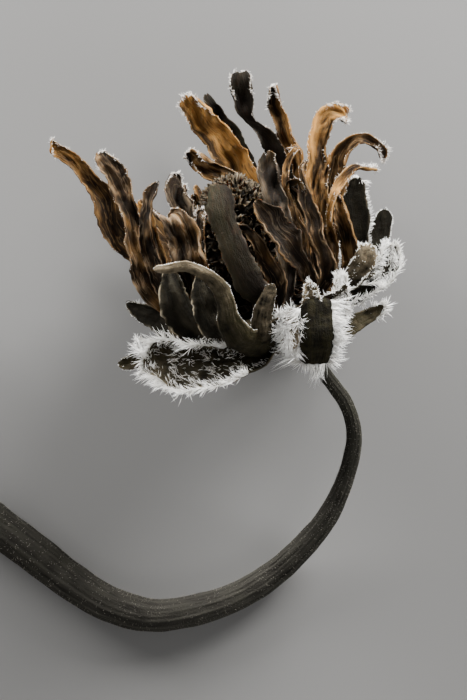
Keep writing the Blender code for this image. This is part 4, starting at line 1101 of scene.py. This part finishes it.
def floret_material(settings):
    """Dried tube floret: brittle husk, near black at its foot and dull gold at its lobes, which are painted
    paler on florets high on the dome, as light.
    """
    material, tree, shader, skin, (height, own, _, _) = new_material("dried_tube_floret", 0.1, 0.4)
    mottle = pattern(tree, skin, 0.8, 0.8, 4.0)
    grain = pattern(tree, skin, 0.25, 0.25, 2.0)
    husk = swing(tree, own, mottle, 0.2)
    lobe = swing(tree, height, mottle, 0.15)
    colour = coated(tree, settings.dark, (husk, settings.brown), (lobe, settings.lobe))
    finish(tree, shader, colour, mottle, (0.6, 0.85), (mottle, grain), 0.15)
    return material


def stem_material(settings):
    """Dried stalk: shrunk, ridged skin with grey fibres over olive brown, painted shade in the hollows
    between its ridges, and pale pith at the cut.
    """
    material, tree, shader, skin, (pith, age, hollow_shade, _) = new_material("dried_ridged_stalk")
    fibres = pattern(tree, skin, 0.45, 9.0, 4.0)  # lengthwise fibres 0.45 mm apart
    mottle = pattern(tree, skin, 2.5, 6.0, 4.0)
    pores = pattern(tree, skin, 0.5, 0.5, 3.0)  # pith cells, drawn coarser than real ones so that they show
    grey = swing(tree, age, mottle, 0.3)
    shade = swing(tree, swing(tree, hollow_shade, fibres, 0.45), mottle, 0.2)
    cut = coated(tree, settings.dark, (pores, settings.pith))
    colour = coated(tree, settings.olive, (grey, settings.grey), (shade, settings.dark), (pith, cut))
    finish(tree, shader, colour, mottle, (0.6, 0.85), (fibres, pores), 0.25)
    return material


# Settings.


def amount_setting(name, description, default, most, **kind):
    return FloatProperty(name=name, description=description, default=default, min=0.0, max=most, **kind)


def length_setting(name, description, default, most):
    """A length given in millimetres."""
    return amount_setting(name, description, default * MM, most * MM, precision=5, unit="LENGTH")


def colour_setting(name, description, default):
    return FloatVectorProperty(
        name=name, description=description, default=linear(default), size=4, min=0.0, max=1.0, subtype="COLOR"
    )


class PetalSettings(PropertyGroup):
    """Sizes and colours of the ray florets."""

    thickness: length_setting("Thickness", "How thick a dried ray floret is", 0.3, 1.0)
    fringe: length_setting("Fringe", "How long the frayed fibres at the tips are", 1.3, 3.0)
    crisp: amount_setting("Crispness", "How deeply they are creased", 1.0, 2.0)
    gold: colour_setting("Gold", "Skin that light comes through", "#AE7E42")
    brown: colour_setting("Brown", "Skin between gold and scorched", "#38291D")
    # Scorched skin, and the painted shade in the folds, towards the root and on one side.
    dark: colour_setting("Dark", "Scorched skin in the folds", "#120D08")
    olive: colour_setting("Olive", "Skin that dried greenish grey", "#27261B")
    # Colour of the veins, and of the painted light on the pale edges and crests; also the feet of the fibres.
    rim: colour_setting("Rim", "Worn edges and veins", "#8F7048")
    # The same where the skin is olive: veins, and painted light on the edges and crests.
    pale_tone: colour_setting("Bleached Rim", "Worn edges and veins where the skin is olive", "#8C8377")
    fibre: colour_setting("Fibre", "Frayed fibres at the tips", "#FDFBF6")


class BractSettings(PropertyGroup):
    """Sizes and colours of the receptacle, its bracts and their bristles."""

    thickness: length_setting("Thickness", "How thick a dried bract is", 0.45, 1.0)
    spacing: length_setting("Bristle Spacing", "Distance between bristles along an edge", 0.13, 1.0)
    hairs: amount_setting("Hairiness", "How many hairs the faces carry", 1.0, 3.0)
    brown: colour_setting("Brown", "Plain dried skin", "#2A2318")
    olive: colour_setting("Olive", "Skin that dried greenish", "#2E2B18")
    taupe: colour_setting("Taupe", "Bleached, grey-brown skin", "#8F8068")
    # Near-black skin, and the painted shade in the folds.
    dark: colour_setting("Dark", "Near-black skin", "#12100A")
    # Colour of the pale ribs, and of the painted light on the pale edges.
    rim: colour_setting("Rim", "Worn edges and ribs", "#9A8F78")
    bristle_root: colour_setting("Bristle Root", "Bristles where they grow out", "#E0DCD2")
    bristle_tip: colour_setting("Bristle Tip", "Bristles towards their points", "#FFFEFB")


class DiscSettings(PropertyGroup):
    """Number and colours of the tube florets."""

    count: IntProperty(name="Florets", description="Tube florets on the disc", default=340, min=50, max=900)
    dark: colour_setting("Dark", "Foot of a floret", "#0B0906")
    brown: colour_setting("Brown", "Tube of a floret", "#2A2118")
    lobe: colour_setting("Lobe", "Lobes at a floret's mouth", "#6E6352")
    stigma: colour_setting("Stigma", "Curled stigmas towards their points", "#D9D2C2")


class StemSettings(PropertyGroup):
    """Sizes and colours of the stem."""

    ridge: length_setting("Ridges", "How far its lengthwise ridges stand proud", 0.22, 1.0)
    fuzz: length_setting("Fuzz", "How long its hairs are", 0.9, 3.0)
    fuzz_count: IntProperty(name="Hairs", description="Hairs on the stem", default=3600, min=0, max=12000)
    grey: colour_setting("Grey", "Bleached skin", "#383631")
    olive: colour_setting("Olive", "Skin near the head", "#2A2922")
    # Painted shade in the hollows between the ridges.
    dark: colour_setting("Dark", "Hollows between the ridges", "#1D1B18")
    pith: colour_setting("Pith", "Spongy middle at the cut", "#CFC3A6")
    hair_root: colour_setting("Hair Root", "Hairs where they grow out", "#4A463F")
    hair_tip: colour_setting("Hair Tip", "Hairs towards their points", "#8E897E")


class StageSettings(PropertyGroup):
    """Floor, light and camera."""

    floor: colour_setting("Floor", "Plain pale floor", "#737270")
    key: amount_setting("Key Light", "Strength of the main light", 16.0, 100.0, unit="POWER")
    rim: amount_setting("Rim Light", "Strength of the low light behind", 11.0, 100.0, unit="POWER")
    fill: amount_setting("Fill Light", "Strength of the light in front", 2.5, 100.0, unit="POWER")
    sky: amount_setting("Sky", "Strength of the even light from all round", 0.25, 2.0)
    sky_colour: colour_setting("Sky Colour", "Colour of the even light from all round", "#F2F3F5")
    height: amount_setting("Camera Height", "Height of the camera over the head", 0.5, 5.0, unit="LENGTH")


# Operators.


class SUNFLOWER_OT_stem(Operator):
    """Grows the shrunken, ridged stem with its short fuzz and its cut end"""

    bl_idname = "sunflower.stem"
    bl_label = "Stem"

    def execute(self, context):
        settings = context.scene.sunflower_stem
        rng = np.random.default_rng(STEM_SEED)
        line = smooth_line([(*(HEAD + np.array(row[:3])), row[3]) for row in STEM_LINE], STEM_STATIONS)
        centres, radii = line[:, :3], line[:, 3]
        centres[:, 2] = np.maximum(centres[:, 2], radii)
        ways = unit_rows(np.gradient(centres, axis=0))
        v = distances(centres)
        turns, towards = rings_round(ways, -UP, STEM_SIDES)

        # The skin has shrunk between its bundles of fibre, which stand out as ridges that drift along it.
        ridge = np.zeros((STEM_STATIONS, STEM_SIDES + 1))
        for count in STEM_RIDGES:
            drift = 1.2 * wander(rng, v, RIDGE_WAVE)[:, None] + rng.uniform(0, 2 * math.pi)
            ridge += np.cos(count * turns + drift) / len(STEM_RIDGES)
        height, place = (wander(rng, v, wave)[:, None] for wave in LUMP_WAVES)
        lumps = height * np.cos(turns + place)
        swell = settings.ridge / MM * ridge * (radii / 4)[:, None] + LUMP_HEIGHT * lumps
        radius = radii[:, None] * (1 + SWELL * wander(rng, v, SWELL_WAVE)[:, None]) + swell
        points = centres[:, None] + towards * radius[:, :, None]
        across = radii[:, None] * np.array([np.cos(turns), np.sin(turns)])
        skin = np.stack([*across, v[:, None] + 0 * turns], axis=2)
        tint = np.zeros((*radius.shape, 4))
        tint[:, :, 1] = np.interp(v / v[-1], *STEM_AGE)[:, None]
        # Painted shade: darker in the hollows between the ridges, and paler on their crests.
        tint[:, :, 2] = 0.35 - 0.45 * ridge

        # The cut end: a rim of hard skin round spongy pith that has sunk in. The other end is a buried point.
        cut = []
        for share, depth, pith in STEM_CUT:
            rough = CUT_ROUGHNESS * rng.normal(size=(STEM_SIDES + 1, 1)) * (share > 0)
            rough[-1] = rough[0]
            inside = centres[-1] + (points[-1] - centres[-1]) * share - ways[-1] * (depth + rough)
            marks = tint[-1].copy()
            marks[:, 0] = pith
            cut.append((inside, skin[-1] * (share, share, 1.0), marks))
        stalk = stem_material(settings)
        points = tube_piece("stem_skin", (points, skin, tint), cut, stalk, "stem")

        count = settings.fuzz_count
        i = rng.integers(0, STEM_STATIONS - 1, count)
        j = rng.integers(0, STEM_SIDES, count)
        slip = rng.random((count, 1))
        feet = points[i, j] * (1 - slip) + points[i + 1, j] * slip
        hairs = Hairs(
            feet - towards[i, j] * HAIR_BURIED,
            towards[i, j] - 0.3 * ways[i] + HAIR_SCATTER * rng.normal(size=feet.shape),
            settings.fuzz / MM * rng.uniform(*FUZZ_LENGTHS, count)
            * np.interp(i, (0, STEM_STATIONS), FUZZ_GROWTH),
        )
        fuzz = bristle_material("dried_stalk_hair", settings.hair_root, settings.hair_tip)
        hair_piece("stem_fuzz", hairs, 2, HAIR_RADIUS * 0.55, 0.4, rng, fuzz, "stem")
        return {"FINISHED"}


class SUNFLOWER_OT_involucre(Operator):
    """Grows the receptacle, its two whorls of bracts, and the bristles and hairs on them"""

    bl_idname = "sunflower.involucre"
    bl_label = "Involucre"

    def execute(self, context):
        settings = context.scene.sunflower_bracts
        rng = np.random.default_rng(BRACT_SEED)
        material = bract_material(settings)
        bm = bmesh.new()
        layers = layers_of(bm)
        bristles, hairs = [], []
        shape = (BRACT_GRIDS, BRACT_STYLE, 1.0, clear_of_collar, settings.thickness / MM / 2)
        grow = grown(all_bracts(), len(BRACTS), *shape, rng)
        for look, surface, points, skin, s, t, edge in grow:
            tint = np.zeros((*surface.across.shape, 4))
            tint[:, :, 0] = spread(look.taupe, t)[:, None]
            tint[:, :, 1] = look.olive
            # Painted shade and light: darker in the hollows of its creases and on one side by lean, and its
            # pale edge painted brighter on the other side.
            tint[:, :, 2] = spread(look.dark, t)[:, None] - 0.25 * surface.crease + look.lean * s
            edge = edge * (1 - look.lean * s)
            tint[:, :, 3] = np.clip(look.rim * (0.9 * edge + 0.05 * surface.vein), 0, 1)
            add_sheet(bm, layers, points, skin, tint)
            normals = face_normals(points)
            spacing = settings.spacing / MM * (2.0 if look is PLAIN_BRACT else 1.0)
            if look.bristle > LONG_BRISTLE:
                spacing *= 0.6
            bristles.append(margin_hairs(points, normals, spacing, look.bristle, 0.5, look.start, rng))
            if look.dense:
                density = look.dense * settings.hairs
                lifted = points + normals * HAIR_STEP
                hairs.append(face_hairs(lifted, normals, surface.crease, density, look.hair, 0.7, rng))
        bracts = finished_piece("bracts", mesh_of("bracts", bm), material, "involucre")
        give_wall(bracts, settings.thickness)

        self.grow_receptacle(material, hairs, rng)
        tips = bristle_material("dried_bristle", settings.bristle_root, settings.bristle_tip)
        for name, parts, rings, radius, bend in (
            ("bract_bristles", bristles, 3, HAIR_RADIUS, 0.3),
            ("bract_hairs", hairs, 2, HAIR_RADIUS * 0.8, 0.4),
        ):
            hair_piece(name, joined(parts), rings, radius, bend, rng, tips, "involucre")
        return {"FINISHED"}

    def grow_receptacle(self, material, hairs, rng):
        """The shallow funnel that carries the bracts, lumpy where they join it and closed at its rim."""
        line = receptacle_line(RECEPTACLE_STATIONS)
        centres, radii = line[:, :3], line[:, 3]
        ways = unit_rows(np.gradient(centres, axis=0))
        share = ease(np.linspace(0.0, 1.6, len(line)))[:, None]
        ways = unit_rows(ways * (1 - share) + AXIS * share)
        turns, towards = rings_round(ways, ACROSS, RECEPTACLE_SIDES)
        v = np.linspace(0.0, RECEPTACLE_DEPTH, len(line))
        ribs = np.cos(RECEPTACLE_RIBS * turns + 0.8 * wander(rng, v, RIB_WAVE)[:, None])
        ribs *= np.linspace(*RIB_HEIGHTS, len(line))[:, None]
        lumps = RECEPTACLE_LUMP_HEIGHT * wander(rng, v, 5.0)[:, None]
        lumps = lumps * np.cos(RECEPTACLE_LUMPS * turns + v[:, None])
        radius = radii[:, None] + (ribs + lumps) * np.minimum(radii / 20, 1.0)[:, None]
        points = centres[:, None] + towards * radius[:, :, None]
        skin = np.stack([radius * np.cos(turns), v[:, None] + 0 * turns, radius * np.sin(turns)], axis=2)
        tint = np.zeros((*radius.shape, 4))
        tint[:, :, :3] = RECEPTACLE_TINT
        top = [
            (HEAD + (points[-1] - HEAD) * inner + AXIS * rise, skin[-1] * inner, tint[-1])
            for inner, rise in RECEPTACLE_TOP
        ]
        outer = tube_piece("receptacle", (points, skin, tint), top, material, "involucre")
        even = np.zeros(outer.shape[:2])
        hairs.append(face_hairs(outer, towards, even, *RECEPTACLE_HAIRS, rng))


class SUNFLOWER_OT_rays(Operator):
    """Grows the shrivelled ray florets and the pale frayed fibres on their tips"""

    bl_idname = "sunflower.rays"
    bl_label = "Ray Florets"

    def execute(self, context):
        settings = context.scene.sunflower_petals
        rng = np.random.default_rng(RAY_SEED)
        bm = bmesh.new()
        layers = layers_of(bm)
        fringes = []
        shape = (RAY_GRIDS, RAY_STYLE, settings.crisp, clear_of_disc, settings.thickness / MM / 2)
        grow = grown(all_rays(), len(RAYS), *shape, rng)
        for look, surface, points, skin, s, t, edge in grow:
            tint = np.zeros((*surface.across.shape, 4))
            settled = ease(t / SETTLED)[:, None]
            # Painted light and shade: gold and the pale rim rise on the crests of the creases as highlights,
            # and the dark deepens in the creases' hollows, towards the root, and on one side by lean, as
            # shade.
            ridge = np.clip((surface.crease - 0.3) / 0.4, 0, 1) * look.crisp
            tint[:, :, 0] = spread(look.gold, t)[:, None] + 0.3 * surface.crease
            crease_light_and_trough = 0.3 * surface.crease * look.crisp + look.trough * (s**2 - MEAN_SQUARE)
            shaded = 0.35 * (1 - ease(t / SHADED))[:, None]
            tint[:, :, 1] = spread(look.dark, t)[:, None] + shaded - crease_light_and_trough + look.lean * s
            tint[:, :, 2] = look.olive
            tint[:, :, 3] = look.rim * (0.7 * edge + 0.25 * settled * ridge)
            add_sheet(bm, layers, points, skin, np.clip(tint, 0, 1))
            if look.fringe <= LEAST_FRINGE:
                continue
            normals = face_normals(points)
            length = settings.fringe / MM * look.fringe
            for apart, share, start in FRINGES:
                spacing = apart / look.fringe
                fringes.append(margin_hairs(points, normals, spacing, length * share, 1.0, start, rng))
        petal = petal_material(settings)
        rays = finished_piece("rays", mesh_of("rays", bm), petal, "ray_florets")
        give_wall(rays, settings.thickness)
        fibre = bristle_material("dried_petal_fibre", settings.rim, settings.fibre)
        frayed = joined(fringes)
        hair_piece("ray_fringes", frayed, 2, HAIR_RADIUS * 0.8, 0.8, rng, fibre, "ray_florets")
        return {"FINISHED"}


class SUNFLOWER_OT_disc(Operator):
    """Grows the dome of tube florets with their curled stigmas"""

    bl_idname = "sunflower.disc"
    bl_label = "Disc Florets"

    def execute(self, context):
        settings = context.scene.sunflower_disc
        rng = np.random.default_rng(DISC_SEED)
        material = floret_material(settings)
        self.grow_dome(material)

        template, faces = self.tube_floret()
        count = settings.count
        k = np.arange(count)
        rise = 1.0 - FLORETS_DOWN * (k + 0.5) / count
        level = np.sqrt(1.0 - rise**2)
        outward = np.outer(np.cos(k * GOLDEN_ANGLE), ACROSS) + np.outer(np.sin(k * GOLDEN_ANGLE), FRONT)
        feet = HEAD + AXIS * (NECK_GAP + DOME_HEIGHT * rise)[:, None]
        feet = feet + outward * (DOME_RADIUS * level)[:, None]
        normals = outward * (level / DOME_RADIUS)[:, None] + AXIS * (rise / DOME_HEIGHT)[:, None]
        normals = unit_rows(unit_rows(normals) + FLORET_LEAN * rng.normal(size=normals.shape))
        # Painted light and shade: the lobes of florets high on the dome are paler, and those low near the rim
        # stay dark.
        pale_tone = np.clip((rise - PAINTED_LIGHT_FROM) / 0.4, 0.0, 1.0)
        one = unit_rows(np.cross(normals, outward + 0.1 * rng.normal(size=normals.shape)))
        two = np.cross(normals, one)
        sizes = FLORET_SIZE * rng.uniform(*FLORET_SIZES, (count, 1, 1))
        reach = FLORET_REACH * rng.uniform(*FLORET_REACHES, (count, 1, 1))
        shrunk = 1 + FLORET_SHRINK * rng.normal(size=(count, len(template), 1))
        placed = feet[:, None] - normals[:, None] * FLORET_BURIED
        placed = placed + one[:, None] * template[None, :, :1] * sizes * shrunk
        placed = placed + two[:, None] * template[None, :, 1:2] * sizes * shrunk
        placed = placed + normals[:, None] * template[None, :, 2:] * (reach + FLORET_BURIED)
        tint = np.zeros((*placed.shape[:2], 4))
        mouth = np.hypot(template[:, 0], template[:, 1]) > MOUTH_FROM
        tint[:, :, 0] = np.clip(template[:, 2] - MOUTH_FROM, 0, 1) * 1.8 * mouth * pale_tone[:, None]
        tint[:, :, 1] = rng.random((count, 1))
        mesh = copies_mesh("tube_florets", faces, placed, placed, tint)
        finished_piece("tube_florets", mesh, material, "disc_florets")

        pairs = np.flatnonzero(rng.random(count) < STIGMA_SHARE * pale_tone)
        feet = (placed[:, -1] + normals * 0.1)[pairs]
        ways = normals[pairs] + 0.5 * rng.normal(size=feet.shape)
        hairs = Hairs(feet, ways, rng.uniform(*STIGMA_LENGTHS, len(pairs)))
        curls = bristle_material("dried_stigma", settings.brown, settings.stigma)
        hair_piece("stigmas", hairs, 4, STIGMA_RADIUS, 2.2, rng, curls, "disc_florets")
        return {"FINISHED"}

    def grow_dome(self, material):
        """The dome that the florets stand on, closed underneath."""
        bm = bmesh.new()
        skin, tint = layers_of(bm)
        bmesh.ops.create_uvsphere(bm, u_segments=64, v_segments=32, radius=1.0)
        lower = [vert for vert in bm.verts if vert.co.z < -0.01]
        bmesh.ops.delete(bm, geom=lower, context="VERTS")
        bmesh.ops.holes_fill(bm, edges=[e for e in bm.edges if e.is_boundary], sides=0)
        # The sphere's faces come in an order that differs from run to run, so they are put in one order.
        bm.verts.index_update()
        bm.faces.sort(key=lambda face: sum(vert.index**2 for vert in face.verts))
        for vert in bm.verts:
            x, y, z = vert.co
            place = HEAD + (ACROSS * x + FRONT * y) * DOME_RADIUS + AXIS * (NECK_GAP + z * DOME_HEIGHT)
            vert.co = place * MM
            vert[skin] = place
            vert[tint] = (0.0, 0.0, 0.0, 0.0)
        bmesh.ops.recalc_face_normals(bm, faces=bm.faces)
        finished_piece("disc_dome", mesh_of("disc_dome", bm), material, "disc_florets")

    def tube_floret(self):
        """A five-lobed tube of unit height: a ten-sided cone, its lobes pulled out, its mouth pushed in."""
        bm = bmesh.new()
        bmesh.ops.create_cone(bm, cap_ends=True, segments=10, radius1=0.62, radius2=0.85, depth=1.0)
        bmesh.ops.translate(bm, vec=(0.0, 0.0, 0.5), verts=bm.verts)
        bm.faces.ensure_lookup_table()
        top = max(bm.faces, key=lambda face: face.calc_center_median().z)
        for number, vert in enumerate(top.verts):
            lobe = number % 2 == 0
            vert.co.x *= 1.3 if lobe else 0.85
            vert.co.y *= 1.3 if lobe else 0.85
            vert.co.z += 0.06 if lobe else -0.12
        bmesh.ops.inset_individual(bm, faces=[top], thickness=0.16, depth=-0.5)
        return template_of(bm)


class SUNFLOWER_OT_stage(Operator):
    """Sets the plain pale floor, the soft lights and the camera over the head"""

    bl_idname = "sunflower.stage"
    bl_label = "Stage"

    def execute(self, context):
        scene = context.scene
        settings = scene.sunflower_stage
        bm = bmesh.new()
        bmesh.ops.create_grid(bm, x_segments=1, y_segments=1, size=FLOOR_SIZE / 2)
        floor = bpy.data.objects.new("floor", mesh_of("floor", bm))
        material = bpy.data.materials.new("pale_matt_board")
        material.use_nodes = True
        tree = material.node_tree
        place = add_node(tree, "ShaderNodeTexCoord").outputs["Object"]
        cloud = pattern(tree, place, 90 * MM, 90 * MM, 2.0)
        shade = (*(0.93 * c for c in settings.floor[:3]), 1.0)
        shader = tree.nodes["Principled BSDF"]
        tree.links.new(coated(tree, shade, (cloud, settings.floor)), shader.inputs["Base Color"])
        shader.inputs["Roughness"].default_value = 0.85
        floor.data.materials.append(material)
        scene.collection.objects.link(floor)

        for name, (place, size) in LIGHTS.items():
            light = bpy.data.lights.new(f"{name}_light", "AREA")
            light.size = size
            light.energy = getattr(settings, name)
            lamp = bpy.data.objects.new(f"{name}_light", light)
            lamp.location = place
            aim = unit(HEAD * MM - np.array(place))
            lamp.rotation_euler = (math.acos(-aim[2]), 0.0, math.atan2(aim[1], aim[0]) - math.pi / 2)
            scene.collection.objects.link(lamp)

        world = bpy.data.worlds.new("even_sky")
        world.use_nodes = True
        sky = world.node_tree.nodes["Background"]
        sky.inputs["Color"].default_value = settings.sky_colour
        sky.inputs["Strength"].default_value = settings.sky
        scene.world = world

        camera = bpy.data.cameras.new("camera")
        camera.sensor_width = SENSOR
        camera.lens = SENSOR * settings.height / (PICTURE_HEIGHT * MM)
        eye = bpy.data.objects.new("camera", camera)
        eye.location = HEAD * MM + VIEW_SHIFT * MM + UP * settings.height
        scene.collection.objects.link(eye)
        scene.camera = eye
        return {"FINISHED"}


class SUNFLOWER_PT_panel(Panel):
    """Lists the pieces in the order in which they are made."""

    bl_label = "Dried Sunflower"
    bl_idname = "SUNFLOWER_PT_panel"
    bl_space_type = "VIEW_3D"
    bl_region_type = "UI"
    bl_category = "Sunflower"

    def draw(self, context):
        for operator, settings in STEPS:
            box = self.layout.box()
            box.operator(operator.bl_idname)
            group = getattr(context.scene, settings)
            for name in group.__annotations__:
                box.prop(group, name)


STEPS = (
    (SUNFLOWER_OT_stem, "sunflower_stem"),
    (SUNFLOWER_OT_involucre, "sunflower_bracts"),
    (SUNFLOWER_OT_rays, "sunflower_petals"),
    (SUNFLOWER_OT_disc, "sunflower_disc"),
    (SUNFLOWER_OT_stage, "sunflower_stage"),
)
SETTINGS = {
    "sunflower_stem": StemSettings,
    "sunflower_bracts": BractSettings,
    "sunflower_petals": PetalSettings,
    "sunflower_disc": DiscSettings,
    "sunflower_stage": StageSettings,
}


def register():
    for name, group in SETTINGS.items():
        bpy.utils.register_class(group)
        setattr(bpy.types.Scene, name, PointerProperty(type=group))
    for operator, _ in STEPS:
        bpy.utils.register_class(operator)
    bpy.utils.register_class(SUNFLOWER_PT_panel)


def unregister():
    bpy.utils.unregister_class(SUNFLOWER_PT_panel)
    for operator, _ in reversed(STEPS):
        bpy.utils.unregister_class(operator)
    for name, group in reversed(SETTINGS.items()):
        delattr(bpy.types.Scene, name)
        bpy.utils.unregister_class(group)


def main():
    register()
    bpy.ops.sunflower.stem()
    bpy.ops.sunflower.involucre()
    bpy.ops.sunflower.rays()
    bpy.ops.sunflower.disc()
    bpy.ops.sunflower.stage()


if __name__ == "__main__":
    main()
